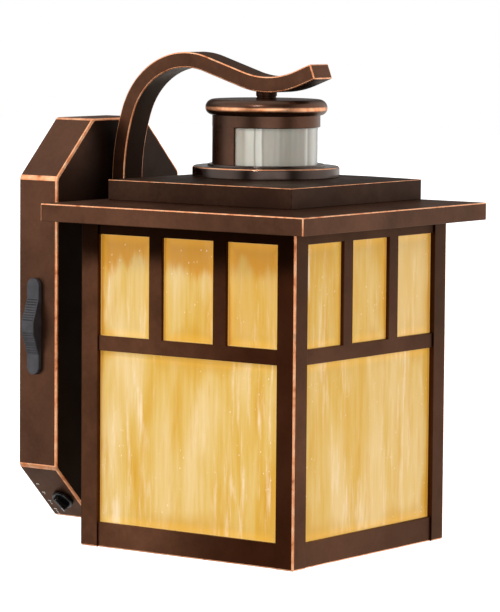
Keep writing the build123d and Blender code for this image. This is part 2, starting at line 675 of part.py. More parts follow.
def sensor_base():
    """The flange that the drum stands on, hollow below, with a boss and three board rests."""
    flange = drum(FLANGE_R, TIER_TOP, FLANGE_TOP)
    flange = fillet(flange.edges().group_by(Axis.Z)[-1], FLANGE_ROUND)
    flange += drum(STEP_R, FLANGE_TOP, DRUM_BOTTOM)
    flange -= drum(FLANGE_R - FLANGE_WALL, TIER_TOP, FLANGE_TOP - FLANGE_TOP_WALL)
    flange += drum(BORE_R + FLANGE_BOSS_WALL, TIER_TOP, DRUM_BOTTOM)
    for turn in range(0, 360, 120):
        rest = Cylinder(BOARD_REST_R, BOARD_REST - FLANGE_TOP, align=UP)
        flange += around_body(turn, Pos(0, BOARD_REST_FROM_AXIS, FLANGE_TOP) * rest)
    return flange - drum(BORE_R, TIER_TOP - BEYOND, DRUM_BOTTOM + BEYOND)


def sensor_gasket():
    outer = FLANGE_R - FLANGE_WALL - MOVING_GAP
    return tube(outer, outer - 3.4, TIER_TOP, TIER_TOP + 1.6)


def sensor_board():
    return tube(DRUM_R - 5.0, BORE_R + 2.0, BOARD_REST, SENSOR_BOARD_TOP)


def detector_holder():
    """A wedge-shaped block at the front of the board, with one face for each detector."""
    corners = [(-16, -9), (16, -9), (9, -19), (-9, -19)]
    return around_body(0, prism(corners, SENSOR_BOARD_TOP, SENSOR_BOARD_TOP + HOLDER_HEIGHT))


def pyro_detectors():
    """Two metal cans on the sloping faces of the holder, looking left and right of the front."""
    can = Rot(90, 0, 0) * Cylinder(DETECTOR_R, DETECTOR_LENGTH, align=UP)
    centre_z = SENSOR_BOARD_TOP + HOLDER_HEIGHT / 2 + 0.5
    cans = []
    for side in (-1, 1):
        place = Location((side * 12.6, BODY_Y - 14.1, centre_z), (0, 0, side * DETECTOR_TURN))
        cans.append(place * can)
    return cans


def photocell():
    top = SENSOR_BOARD_TOP + PHOTOCELL_HEIGHT
    return drum(PHOTOCELL_R, SENSOR_BOARD_TOP, top, y=BODY_Y - PHOTOCELL_FORWARD)


# ---- roof ---------------------------------------------------------------------------

def roof_tier():
    half = TIER_SIDE / 2
    crown = TIER_CROWN_SIDE / 2
    tier = square_block(half, SLAB_TOP, TIER_RIM) + square_taper(half, crown, TIER_RIM, TIER_TOP)
    tier -= square_block(half - TIER_WALL, SLAB_TOP, TIER_RIM - TIER_WALL)
    return tier - drum(BORE_R, SLAB_TOP, TIER_TOP + BEYOND)


def roof_slab():
    """A shallow pan, open below, whose top slopes gently up to the tier."""
    half = SLAB_SIDE / 2
    slab = square_block(half, SLAB_BOTTOM, SLAB_RIM)
    slab += square_taper(half, TIER_SIDE / 2, SLAB_RIM, SLAB_TOP)
    slab -= square_block(half - SLAB_WALL, SLAB_BOTTOM - BEYOND, SLAB_RIM - SLAB_WALL)
    slab -= drum(BORE_R, SLAB_BOTTOM, SLAB_TOP + BEYOND)
    for x, y in roof_screw_places():
        slab -= drum(ROOF_SCREW_R + SNUG, SLAB_BOTTOM, SLAB_TOP - ROOF_SCREW_COVER, x, y)
    return slab


def roof_soffit():
    """The flat sheet that closes the pan from below and carries the body."""
    sheet = square_block(SLAB_SIDE / 2 - SLAB_WALL - LAID, SOFFIT_BOTTOM, SOFFIT_TOP)
    sheet -= drum(BORE_R, SOFFIT_BOTTOM - BEYOND, SOFFIT_TOP + BEYOND)
    for x, y in roof_screw_places():
        sheet -= drum(ROOF_SCREW_R + EASY, SOFFIT_BOTTOM - BEYOND, SOFFIT_TOP + BEYOND, x, y)
    return sheet


def roof_screw_places():
    sides = (-ROOF_SCREW_HALF, ROOF_SCREW_HALF)
    return [(x, BODY_Y + y) for x in sides for y in sides]


def roof_screws():
    length = SLAB_TOP - ROOF_SCREW_COVER - 2 * EASY - TOP_PLATE_BOTTOM
    screw = pan_screw(ROOF_SCREW_R, length, 3.8, 2.4)
    return [Pos(x, y, TOP_PLATE_BOTTOM) * screw for x, y in roof_screw_places()]


def clamp_washer():
    return tube(WASHER_R, BORE_R, SOFFIT_BOTTOM - WASHER_THICK, SOFFIT_BOTTOM)


def nipple_nut():
    hexagon = Pos(0, BODY_Y, NUT_TOP - NUT_HEIGHT) * RegularPolygon(NUT_FLAT_R, 6, major_radius=False)
    return extrude(hexagon, NUT_HEIGHT) - drum(NIPPLE_R + SNUG, NIPPLE_BOTTOM, SOFFIT_BOTTOM)


# ---- lantern body -------------------------------------------------------------------

def corner_post(turn):
    """An L-shaped post, drawn at the front left corner."""
    half = BODY_HALF
    inner = half - POST_THICK
    edge = half - POST_WIDTH
    corners = [(-half, -half), (-edge, -half), (-edge, -inner),
               (-inner, -inner), (-inner, -edge), (-half, -edge)]
    return around_body(turn, prism(corners, BODY_BOTTOM, SOFFIT_BOTTOM))


def side_frame(turn):
    """One side of the cage, drawn at the front: mitred ends, three upper panes and one large one."""
    corners = [(-FRAME_OUT, -FRAME_OUT), (FRAME_OUT, -FRAME_OUT),
               (FRAME_IN, -FRAME_IN), (-FRAME_IN, -FRAME_IN)]
    frame = prism(corners, BODY_BOTTOM, SOFFIT_BOTTOM)
    depth = (-BODY_HALF, -GLASS_IN)
    window_half = BODY_HALF - POST_WIDTH + FRAME_EDGE_COVER
    frame -= block((-window_half, window_half), depth, (WINDOW_LOW, MID_RAIL_LOW))
    pitch = 2 * (BODY_HALF - POST_WIDTH) + MUNTIN_WIDTH
    pitch = pitch / PANES_ACROSS
    for pane in range(PANES_ACROSS):
        centre = (pane - (PANES_ACROSS - 1) / 2) * pitch
        low = centre - (pitch - MUNTIN_WIDTH) / 2
        high = centre + (pitch - MUNTIN_WIDTH) / 2
        if pane == 0:
            low = -window_half
        if pane == PANES_ACROSS - 1:
            high = window_half
        frame -= block((low, high), depth, (MID_RAIL_HIGH, WINDOW_HIGH))
    return around_body(turn, frame)


def glass_pane(turn):
    """One sheet of art glass, drawn at the front. Its right end butts on the next sheet."""
    ends = (GLASS_BUTT_GAP - FRAME_IN, GLASS_IN - GLASS_BUTT_GAP)
    sheet = block(ends, (-GLASS_OUT, -GLASS_IN), (GLASS_BOTTOM, GLASS_TOP))
    return around_body(turn, sheet)


def bottom_rim():
    """The square ring at the foot of the cage: a ledge for the glass and an inner lip."""
    lip_bottom = RIM_BOTTOM + PLATE_THICK
    ledge = square_ring(FRAME_IN - LAID, RIM_MOUTH_HALF, RIM_BOTTOM, lip_bottom)
    lip_top = lip_bottom + CHANNEL_HEIGHT
    return ledge + square_ring(CHANNEL_OUT, CHANNEL_OUT - CHANNEL_THICK, lip_bottom, lip_top)


def top_frame():
    """The square ring at the head of the cage, with a lip behind the glass."""
    plate = square_ring(FRAME_IN - LAID, HEAD_MOUTH_HALF, TOP_PLATE_BOTTOM, SOFFIT_BOTTOM)
    lip_low = TOP_PLATE_BOTTOM - CHANNEL_HEIGHT
    plate += square_ring(CHANNEL_OUT, CHANNEL_OUT - CHANNEL_THICK, lip_low, TOP_PLATE_BOTTOM)
    for x, y in roof_screw_places():
        plate -= drum(ROOF_SCREW_R + EASY, TOP_PLATE_BOTTOM - BEYOND, SOFFIT_BOTTOM + BEYOND, x, y)
    return plate


def glass_retainers():
    """Four corner strips that hold the glass, trapped between the two lips."""
    low = RIM_BOTTOM + PLATE_THICK + CHANNEL_HEIGHT + LAID
    high = TOP_PLATE_BOTTOM - CHANNEL_HEIGHT - LAID
    out = -CHANNEL_OUT
    end = out + RETAINER_LEG
    inner = out + RETAINER_THICK
    corners = [(out, out), (end, out), (end, inner), (inner, inner), (inner, end), (out, end)]
    strip = prism(corners, low, high)
    return [around_body(turn, strip) for turn in range(0, 360, 90)]


# ---- lamp ---------------------------------------------------------------------------

def lampholder_bracket():
    """A C-shaped strap from the nipple down to the lampholder."""
    width = (BODY_Y - BRACKET_HALF_WIDTH, BODY_Y + BRACKET_HALF_WIDTH)
    foot_top = LAMPHOLDER_TOP + BRACKET_THICK
    strap = block(BRACKET_X, width, (NUT_TOP, BRACKET_TOP))
    strap += block((BRACKET_X[1] - BRACKET_THICK, BRACKET_X[1]), width, (LAMPHOLDER_TOP, BRACKET_TOP))
    strap += block(BRACKET_X, width, (LAMPHOLDER_TOP, foot_top))
    strap -= drum(BORE_R, NUT_TOP - BEYOND, BRACKET_TOP + BEYOND)
    low, high = LAMPHOLDER_TOP - BEYOND, foot_top + BEYOND
    for side in (-1, 1):
        strap -= drum(LAMP_SCREW_R + 2 * LAID, low, high, x=side * LAMP_SCREW_X)
    return strap - drum(BRACKET_WIRE_HOLE_R, low, high)


def lampholder_screws():
    screw = pan_screw(LAMP_SCREW_R, BRACKET_THICK + LAMP_SCREW_REACH, 2.9, 1.8)
    top = LAMPHOLDER_TOP + BRACKET_THICK
    return [Pos(side * LAMP_SCREW_X, BODY_Y, top) * Rot(180, 0, 0) * screw for side in (-1, 1)]


def lampholder():
    body = drum(LAMPHOLDER_R, LAMPHOLDER_BOTTOM, LAMPHOLDER_TOP)
    body = fillet(body.edges().filter_by(GeomType.CIRCLE), LAMPHOLDER_ROUND)
    body -= drum(SOCKET_R, LAMPHOLDER_BOTTOM - BEYOND, SOCKET_TOP)
    hole_low = LAMPHOLDER_TOP - LAMP_SCREW_REACH - MOVING_GAP - LAID
    for side in (-1, 1):
        body -= drum(LAMP_SCREW_R + SNUG, hole_low, LAMPHOLDER_TOP + BEYOND, x=side * LAMP_SCREW_X)
    return body


def screw_shell():
    outer = SOCKET_R - LAID
    return tube(outer, outer - SCREW_SHELL_WALL, *SCREW_SHELL_Z)


def centre_contact():
    return drum(CONTACT_R, BULB_TIP_TOP + CONTACT_GAP, SOCKET_TOP)


def bulb_base():
    """The lamp cap: a metal cup with the contact tip on top."""
    lid = 1.0
    cup = drum(BULB_BASE_R, BULB_BASE_BOTTOM, BULB_BASE_TOP)
    cup -= drum(BULB_BASE_R - BULB_CAP_WALL, BULB_BASE_BOTTOM - BEYOND, BULB_BASE_TOP - lid)
    return cup + drum(BULB_TIP_R, BULB_BASE_TOP - lid / 2, BULB_TIP_TOP)


def bulb_profile(inset):
    """Half of the bulb's section: a quarter circle, then two opposite arcs up to the neck."""
    radius = BULB_R - inset
    bowl = RadiusArc((0, BULB_CENTRE_Z - radius), (radius, BULB_CENTRE_Z), -radius)
    shoulder = JernArc(bowl @ 1, (0, 1), BULB_SHOULDER_R - inset, BULB_SHOULDER_TURN)
    neck = JernArc(shoulder @ 1, shoulder % 1, BULB_NECK_R + inset, -BULB_SHOULDER_TURN)
    end_x = (neck @ 1).X
    rim = Line(neck @ 1, (end_x, BULB_BASE_BOTTOM))
    lid = Line(rim @ 1, (0, BULB_BASE_BOTTOM))
    axis = Line(lid @ 1, bowl @ 0)
    face = make_face(Curve() + [bowl, shoulder, neck, rim, lid, axis])
    return revolve(Plane.XZ * face, Axis.Z)


def bulb_glass():
    return Pos(0, BODY_Y, 0) * (bulb_profile(0) - bulb_profile(BULB_WALL))


# ---- the whole lantern --------------------------------------------------------------

def all_nodes():
    nodes = {
        "wall_box": wall_box(),
        "wall_gasket": wall_gasket(),
        "mounting_strap": mounting_strap(),
        "mounting_studs": mounting_studs(),
        "cap_nuts": [cap_nut(side * STUD_SPACING / 2) for side in (-1, 1)],
        "ground_screw": ground_screw(),
        "control_board": control_board(),
        "board_screws": board_screws(),
        "relay": relay(),
        "capacitor": capacitor(),
        "terminal_block": terminal_block(),
        "slide_switch": slide_switch(),
        "slide_control": slide_control(),
        "rotary_switch": rotary_switch(),
        "selector_knob": selector_knob(),
        "dial_marks": dial_marks(),
        "arm_gasket": arm_gasket(),
        "swan_neck_arm": swan_neck_arm(),
        "arm_screws": arm_screws(),
        "arm_backing_plate": arm_backing_plate(),
        "arm_leads": arm_leads(),
        "neck_collar": neck_collar(),
        "centre_nipple": centre_nipple(),
        "sensor_cap": sensor_cap(),
        "sensor_housing": sensor_housing(),
        "sensor_lens": sensor_lens(),
        "sensor_base": sensor_base(),
        "sensor_gasket": sensor_gasket(),
        "sensor_board": sensor_board(),
        "detector_holder": detector_holder(),
        "pyro_detectors": pyro_detectors(),
        "photocell": photocell(),
        "roof_tier": roof_tier(),
        "roof_slab": roof_slab(),
        "roof_soffit": roof_soffit(),
        "top_frame": top_frame(),
        "roof_screws": roof_screws(),
        "clamp_washer": clamp_washer(),
        "nipple_nut": nipple_nut(),
        "bottom_rim": bottom_rim(),
        "glass_retainers": glass_retainers(),
        "lampholder_bracket": lampholder_bracket(),
        "lampholder_screws": lampholder_screws(),
        "lampholder": lampholder(),
        "screw_shell": screw_shell(),
        "centre_contact": centre_contact(),
        "bulb_base": bulb_base(),
        "bulb_glass": bulb_glass(),
    }
    for name, turn in CORNERS.items():
        nodes["corner_post_" + name] = corner_post(turn)
    for name, turn in FACES.items():
        nodes["side_frame_" + name] = side_frame(turn)
        nodes["glass_" + name] = glass_pane(turn)
    return nodes


os.makedirs("parts", exist_ok=True)
for node, shape in all_nodes().items():
    solids = shape if isinstance(shape, list) else [shape]
    export_step(Compound([solid for piece in solids for solid in piece.solids()]), f"parts/{node}.step")
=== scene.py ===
import json
from math import cos, hypot, pi, radians, sin, sqrt

import bmesh
import bpy
from mathutils import Matrix, Vector


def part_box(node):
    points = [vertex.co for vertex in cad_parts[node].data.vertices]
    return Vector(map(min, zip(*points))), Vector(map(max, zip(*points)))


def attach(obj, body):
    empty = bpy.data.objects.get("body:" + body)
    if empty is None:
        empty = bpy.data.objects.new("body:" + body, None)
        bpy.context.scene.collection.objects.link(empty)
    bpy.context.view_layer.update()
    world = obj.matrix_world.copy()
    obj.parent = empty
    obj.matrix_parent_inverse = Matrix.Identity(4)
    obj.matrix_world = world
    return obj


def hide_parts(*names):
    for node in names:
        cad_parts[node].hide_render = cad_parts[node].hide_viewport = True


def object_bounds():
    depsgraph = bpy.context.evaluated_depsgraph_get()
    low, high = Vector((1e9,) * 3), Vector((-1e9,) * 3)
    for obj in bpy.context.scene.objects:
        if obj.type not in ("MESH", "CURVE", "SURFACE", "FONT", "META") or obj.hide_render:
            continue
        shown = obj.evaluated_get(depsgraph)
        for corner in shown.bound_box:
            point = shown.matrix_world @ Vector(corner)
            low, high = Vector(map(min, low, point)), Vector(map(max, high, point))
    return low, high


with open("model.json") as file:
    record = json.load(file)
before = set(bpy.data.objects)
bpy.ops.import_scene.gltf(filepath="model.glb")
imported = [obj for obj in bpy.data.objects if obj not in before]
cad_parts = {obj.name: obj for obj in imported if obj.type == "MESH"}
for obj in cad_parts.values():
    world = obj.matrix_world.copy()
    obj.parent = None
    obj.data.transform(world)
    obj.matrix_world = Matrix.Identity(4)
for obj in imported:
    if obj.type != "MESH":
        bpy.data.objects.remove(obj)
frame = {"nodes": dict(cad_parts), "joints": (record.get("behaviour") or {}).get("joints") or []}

# The looks of an outdoor wall lantern: oil-rubbed bronze with copper edges, amber art
# glass, a milky sensor lens. Shapes are drawn in millimetres and scaled to metres when
# they become objects. The wall is y = 0, the lantern stands out along -Y, +Z is up.

CAD_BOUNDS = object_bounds()
MM = 0.001


def node_box(*nodes):
    """The lowest and highest corner of some CAD nodes, in millimetres."""
    corners = [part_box(node) for node in nodes]
    low = Vector([min(c[0][i] for c in corners) for i in range(3)]) / MM
    high = Vector([max(c[1][i] for c in corners) for i in range(3)]) / MM
    return low, high


def round_box(node):
    """A node about the lantern's axis: its lowest and highest z, and its half width."""
    low, high = node_box(node)
    return low.z, high.z, (high.x - low.x) / 2


# ---- sizes taken from the frame, and the few that its boxes don't show ----

BOX_LOW, BOX_HIGH = node_box("wall_box")
BOX_CORNER = 37.0
BOX_WALL = 2.2
BOX_FRONT = 2.5

POST_LOW, POST_HIGH = node_box("corner_post_front_left", "corner_post_back_right")
BODY_HALF = (POST_HIGH.x - POST_LOW.x) / 2
BODY_Y = (POST_LOW.y + POST_HIGH.y) / 2
BODY_BOTTOM = POST_LOW.z
POST_WIDTH = node_box("corner_post_front_left")[1].x - POST_LOW.x
POST_THICK = 1.2
FRAME_THICK = node_box("side_frame_front")[1].y - node_box("side_frame_front")[0].y
FRAME_OUT = BODY_HALF - POST_THICK
FRAME_IN = FRAME_OUT - FRAME_THICK
GLASS_GAP = 0.1
GLASS_THICK = 3.0
WINDOW_LOW = -120.4
MID_RAIL_LOW = -11.9
MID_RAIL_HIGH = -2.6
MID_RAIL = (MID_RAIL_LOW + MID_RAIL_HIGH) / 2
WINDOW_HIGH = 61.0
WINDOW_HALF = BODY_HALF - POST_WIDTH + 0.3
MUNTIN_WIDTH = 9.9
PANE_PITCH = (2 * (BODY_HALF - POST_WIDTH) + MUNTIN_WIDTH) / 3
PANE_WIDTH = PANE_PITCH - MUNTIN_WIDTH

SLAB_LOW, SLAB_HIGH, SLAB_HALF = round_box("roof_slab")
SLAB_RIM = 79.6
SLAB_WALL = 1.8
TIER_LOW, TIER_HIGH, TIER_HALF = round_box("roof_tier")
TIER_RIM = 94.4
TIER_CROWN_HALF = 47.0
TIER_WALL = 1.6

NECK_BORE = 5.3
FLANGE_LOW, FLANGE_HIGH, FLANGE_R = round_box("sensor_base")
FLANGE_TOP = 103.2
STEP_R = 37.0
DRUM_LOW, DRUM_HIGH, DRUM_R = round_box("sensor_housing")
DRUM_WALL = 1.4
LENS_LOW, LENS_HIGH, LENS_R = round_box("sensor_lens")
LENS_TOP = LENS_HIGH - 2.0
CAP_LOW, CAP_HIGH, CAP_R = round_box("sensor_cap")
CAP_UPPER = 5.3
CAP_LOWER = CAP_HIGH - CAP_LOW - CAP_UPPER

# The swan neck's middle line above its upright foot: each bend is a radius and a turn in
# degrees, and each straight is a length and no turn.
ARM_LOW, ARM_HIGH = node_box("swan_neck_arm")
ARM_THICK = 9.85
ARM_HALF_WIDTH = (ARM_HIGH.x - ARM_LOW.x) / 2
ARM_RISE = 90.3
ARM_BENDS = ((136.0, -19.5), (49.5, -87.9), (30.5, 0), (65.0, 38.5), (12.7, 0))

SIDES = ("front", "right", "back", "left")
CORNERS = ("front_left", "front_right", "back_right", "back_left")


# The lantern's axis, upright through the middle of the cage.
UPRIGHT = Matrix.Translation((0, BODY_Y, 0))


def rotation(degrees, axis):
    return Matrix.Rotation(radians(degrees), 4, axis)


# ---- node graphs ----

def srgb(red, green, blue):
    """A display colour, 0 to 255, as the linear colour that sockets take."""
    def linear(value):
        value /= 255
        return value / 12.92 if value <= 0.04045 else ((value + 0.055) / 1.055) ** 2.4
    return (linear(red), linear(green), linear(blue), 1.0)


class Signal:
    """A number or colour that varies: one output of a node, with its arithmetic."""

    def __init__(self, graph, socket):
        self.graph = graph
        self.socket = socket

    def __add__(self, other):
        return self.graph.math("ADD", self, other)

    def __sub__(self, other):
        return self.graph.math("SUBTRACT", self, other)

    def __rsub__(self, other):
        return self.graph.math("SUBTRACT", other, self)

    def __mul__(self, other):
        return self.graph.math("MULTIPLY", self, other)

    def __truediv__(self, other):
        return self.graph.math("DIVIDE", self, other)

    __radd__ = __add__
    __rmul__ = __mul__

    def step(self, low, high, new_low=0.0, new_high=1.0):
        """A smooth step from one range to another."""
        sources = {"Value": self, "From Min": low, "From Max": high,
                   "To Min": new_low, "To Max": new_high}
        return self.graph.add("MapRange", "Result", sources, interpolation_type="SMOOTHSTEP")

    def ramp(self, *stops):
        """A colour that runs through stops, each a position and a colour."""
        colour = self.graph.add("ValToRGB", "Color", {"Fac": self})
        elements = colour.socket.node.color_ramp.elements
        while len(elements) < len(stops):
            elements.new(0.5)
        for element, (position, tone) in zip(elements, stops):
            element.position = position
            element.color = tone
        return colour

    def blend(self, dark, light):
        """A noise as a run between two tones."""
        return self.ramp((0.35, dark), (0.65, light))


class Graph:
    """A node tree, with short ways to build it."""

    def __init__(self, tree):
        self.nodes = tree.nodes
        self.links = tree.links

    def add(self, kind, output, sources, **settings):
        """Adds a node, feeds its inputs with values or constants, and gives an output."""
        node = self.nodes.new("ShaderNode" + kind)
        for name, setting in settings.items():
            setattr(node, name, setting)
        for name, source in sources.items():
            if isinstance(source, Signal):
                self.links.new(source.socket, node.inputs[name])
            else:
                node.inputs[name].default_value = source
        return Signal(self, node.outputs[output])

    def math(self, operation, *sources):
        return self.add("Math", 0, dict(enumerate(sources)), operation=operation)

    def mix(self, amount, first, second):
        return self.add("Mix", 2, {0: amount, 6: first, 7: second}, data_type="RGBA")


class Finish(Graph):
    """A procedural material: one Principled shader, fed from a point's place in metres.
    Constants are set on the shader's own sockets."""

    def __init__(self, name, **constants):
        self.material = bpy.data.materials.new(name)
        self.material.use_nodes = True
        super().__init__(self.material.node_tree)
        self.shader = self.nodes["Principled BSDF"]
        for socket, constant in constants.items():
            self.shader.inputs[socket.replace("_", " ")].default_value = constant
        self.place = self.add("TexCoord", "Object", {})
        axes = self.add("SeparateXYZ", "X", {"Vector": self.place}).socket.node.outputs
        self.x, self.y, self.z = (Signal(self, axis) for axis in axes)
        self.normal = None

    def feed(self, socket, value):
        self.links.new(value.socket, self.shader.inputs[socket])

    def colour(self, value):
        self.feed("Base Color", value)

    def stretched(self, scale, shift):
        """The place scaled per axis, in cycles per metre. A scale is one number, or three."""
        scale = scale if isinstance(scale, tuple) else (scale, scale, scale)
        sources = {"Vector": self.place, "Scale": scale, "Location": shift}
        return self.add("Mapping", "Vector", sources)

    def noise(self, scale, detail=4.0, rough=0.55, shift=(0, 0, 0), warp=0.0):
        sources = {"Vector": self.stretched(scale, shift), "Scale": 1.0, "Detail": detail,
                   "Roughness": rough, "Distortion": warp}
        return self.add("TexNoise", "Fac", sources)

    def cells(self, scale, feature="F1", shift=(0, 0, 0)):
        sources = {"Vector": self.stretched(scale, shift), "Scale": 1.0}
        return self.add("TexVoronoi", "Distance", sources, feature=feature)

    def roughen(self, noise, low, high):
        self.feed("Roughness", noise.step(0.3, 0.7, low, high))

    def bump(self, height, strength, distance_mm):
        """Adds a relief. Several calls add up, because each feeds the next one's normal."""
        sources = {"Height": height, "Strength": strength, "Distance": distance_mm * MM}
        if self.normal:
            sources["Normal"] = self.normal
        self.normal = self.add("Bump", "Normal", sources)
        self.feed("Normal", self.normal)


# ---- bronze and copper ----

BRONZE_TONES = (srgb(66, 41, 27), srgb(80, 50, 34), srgb(92, 59, 42))
# The head tones are a darker copy of the bronze: painted shade on the sensor's flange, the roof's
# upper tier and the neck sleeve.
HEAD_SHADE_TONES = (srgb(38, 20, 11), srgb(46, 26, 15), srgb(60, 38, 26))
# The shaded tones are painted shade.
PAINTED_SHADE_TONES = (srgb(22, 10, 5), srgb(30, 15, 8), srgb(42, 24, 15))
# A near-black painted shadow.
PAINTED_SHADOW = srgb(15, 4, 1)
# A warm dark brown painted shade.
PAINTED_WARM_SHADE = srgb(40, 13, 2)
BRONZE_TINT = (0.85, 0.78, 0.72, 1.0)
BRONZE_METAL = 0.88
COPPER_DARK = srgb(184, 104, 62)
COPPER = srgb(230, 148, 98)
COPPER_BRIGHT = srgb(246, 186, 142)


def bronze_colour(finish, tones=BRONZE_TONES):
    """Dark oil-rubbed brown: slow clouds, with a finer mottle over them."""
    mottle = finish.noise(300.0, detail=5.0, rough=0.65)
    tone = 0.25 * mottle + 0.75 * finish.noise(17.0, detail=2.0)
    return tone.ramp(*zip((0.34, 0.5, 0.66), tones))


def copper_colour(finish):
    """Copper that shows where the dark finish was rubbed off, brighter in streaks."""
    wear = finish.noise(150.0, detail=4.0, rough=0.6)
    return wear.ramp((0.3, COPPER_DARK), (0.42, COPPER), (0.66, COPPER_BRIGHT))


def bronze_surface(finish, gloss=0.36):
    finish.roughen(finish.noise(90.0, detail=3.0), gloss, gloss + 0.1)
    finish.bump(finish.noise(700.0, detail=2.0), 0.08, 0.06)


def bronze(name, tones=BRONZE_TONES, metal=BRONZE_METAL, gloss=0.36, lacquer=0.0):
    finish = Finish(name, Metallic=metal, Specular_Tint=BRONZE_TINT, Coat_Weight=lacquer,
                    Coat_Roughness=0.2, Coat_IOR=1.8)
    finish.colour(bronze_colour(finish, tones))
    bronze_surface(finish, gloss)
    return finish.material


def box_bronze():
    """The wall box's finish, with painted shade on its front and a near-black painted shadow
    behind the lantern.
    """
    finish = Finish("box_bronze", Metallic=0.85, Specular_Tint=BRONZE_TINT)
    # Painted shade on the front plate, lighter toward its left edge, and a near-black painted
    # shadow lower down, behind the lantern body.
    front = finish.y.step((BOX_LOW.y + 0.05) * MM, (BOX_LOW.y + 0.6) * MM, 1.0, 0.0)
    inward = finish.noise(30.0, detail=3.0) * 0.02 + finish.x
    shade = front * inward.step(-0.045, -0.005, 0.5, 1.0)
    shadow_behind_body = front * finish.z.step(0.05, 0.085, 0.85, 0.0)
    colour = finish.mix(shade, bronze_colour(finish), bronze_colour(finish, PAINTED_SHADE_TONES))
    finish.colour(finish.mix(shadow_behind_body, colour, PAINTED_SHADOW))
    bronze_surface(finish)
    return finish.material


def cage_bronze():
    """The window frames' finish, with painted shade: on the left side it is darker toward the
    front, and a painted shadow of the eaves lies near its head. The other sides are painted darker
    to the right and above."""
    finish = Finish("cage_bronze", Metallic=1.0, Specular_Tint=BRONZE_TINT)
    clouds = finish.noise(35.0, detail=3.0)
    height = clouds * 0.016 + finish.z
    left = finish.x.step((0.3 - FRAME_OUT) * MM, (0.6 - FRAME_OUT) * MM, 1.0, 0.0)
    elsewhere = 1.0 - left
    forward = clouds * -0.03 + finish.y
    front_shade = forward.step((BODY_Y - 72) * MM, (BODY_Y + 25) * MM, 0.78, 0.0)
    colour = bronze_colour(finish)
    # Painted shade and shadow in layers: warm shade toward the front of the left side, the eaves'
    # shadow at its head, and shade to the right and higher up on the other sides.
    for amount, shade in ((left * front_shade, PAINTED_WARM_SHADE),
                          (left * height.step(0.042, 0.062, 0.0, 0.96), PAINTED_SHADOW),
                          (elsewhere * finish.x.step(-0.05, 0.09, 0.0, 0.45), PAINTED_SHADE_TONES[2]),
                          (elsewhere * height.step(-0.02, 0.065, 0.1, 0.6), PAINTED_SHADE_TONES[2])):
        colour = finish.mix(amount, colour, shade)
    finish.colour(colour)
    bronze_surface(finish)
    return finish.material


def banded_bronze(name, tones, gloss, lacquer, across, centre_mm, half_mm, soft_mm):
    """Lacquered bronze with a rubbed copper ring round the lantern's axis, fading out at
    its edges. The ring lies at one height or at one radius."""
    finish = Finish(name, Metallic=BRONZE_METAL, Specular_Tint=BRONZE_TINT,
                    Coat_Weight=lacquer, Coat_Roughness=0.15, Coat_IOR=1.8)
    if across == "height":
        place = finish.z
    else:
        off = finish.y - BODY_Y * MM
        place = finish.math("SQRT", finish.x * finish.x + off * off)
    wobble = finish.noise(40.0) * (0.6 * soft_mm * MM) - 0.3 * soft_mm * MM
    distance = finish.math("ABSOLUTE", place - centre_mm * MM) + wobble
    band = distance.step(half_mm * MM, (half_mm + soft_mm) * MM, 1.0, 0.0)
    colour = finish.mix(band, bronze_colour(finish, tones), copper_colour(finish))
    finish.colour(colour)
    finish.roughen(finish.noise(90.0, detail=3.0), gloss, gloss + 0.09)
    finish.bump(finish.noise(700.0, detail=2.0), 0.06, 0.05)
    return finish.material


def copper_edge():
    """The edges where the dark finish is rubbed through, with some of it left in patches."""
    finish = Finish("rubbed_copper", Metallic=0.65)
    left = finish.noise((70.0, 70.0, 45.0), detail=5.0, rough=0.7).step(0.56, 0.74) * 0.55
    finish.colour(finish.mix(left, copper_colour(finish), bronze_colour(finish)))
    finish.roughen(finish.noise(200.0), 0.3, 0.45)
    finish.bump(finish.noise(500.0), 0.1, 0.05)
    return finish.material


# ---- glass and lens ----

# The deepest amber is a painted shadow of the roof across the left sheet's head.
GLASS_ROOF_SHADOW = srgb(208, 136, 6)
GLASS_AMBER = srgb(204, 150, 40)
GLASS_HONEY = srgb(210, 167, 72)
GLASS_CREAM = srgb(216, 181, 103)
GLASS_PALE = srgb(226, 197, 138)
GLASS_WHITE = srgb(242, 220, 184)
# The burnt orange is painted shade along the far side of each pane.
GLASS_EDGE_SHADE = srgb(180, 96, 16)
# The glow colour and strengths below give the glass a painted glow; no lamp inside is lit.
GLASS_GLOW = srgb(238, 176, 56)
EDGE_GLOW = 0.18
GLOW = {"front": 0.2, "right": 0.2, "back": 0.0, "left": 0.12}

# The upper pane at one end of a sheet is a deeper or a paler stretch of glass.
END_PANES = {"left": (-1.0, GLASS_AMBER, 0.55), "front": (1.0, GLASS_PALE, 0.65)}


def pane_edges(finish, sideways, is_upper):
    """How far a point is from the nearest edge of its own pane, and from the pane's edge
    on the side of the higher coordinate, in metres."""
    def choose(lower, upper):
        return finish.add("Mix", 0, {0: is_upper, 2: lower, 3: upper}, data_type="FLOAT")

    def between(low, high):
        return finish.math("MINIMUM", finish.z - low * MM, high * MM - finish.z)

    # The upper panes repeat, so a point's place in its own pane is a remainder.
    from_left = finish.math("MODULO", sideways + 10.5 * PANE_PITCH * MM, PANE_PITCH * MM)
    from_left = from_left - MUNTIN_WIDTH / 2 * MM
    right = choose(WINDOW_HALF * MM - sideways, PANE_WIDTH * MM - from_left)
    left = choose(WINDOW_HALF * MM + sideways, from_left)
    upright = choose(between(WINDOW_LOW, MID_RAIL_LOW), between(MID_RAIL_HIGH, WINDOW_HIGH))
    return finish.math("MINIMUM", finish.math("MINIMUM", left, right), upright), right


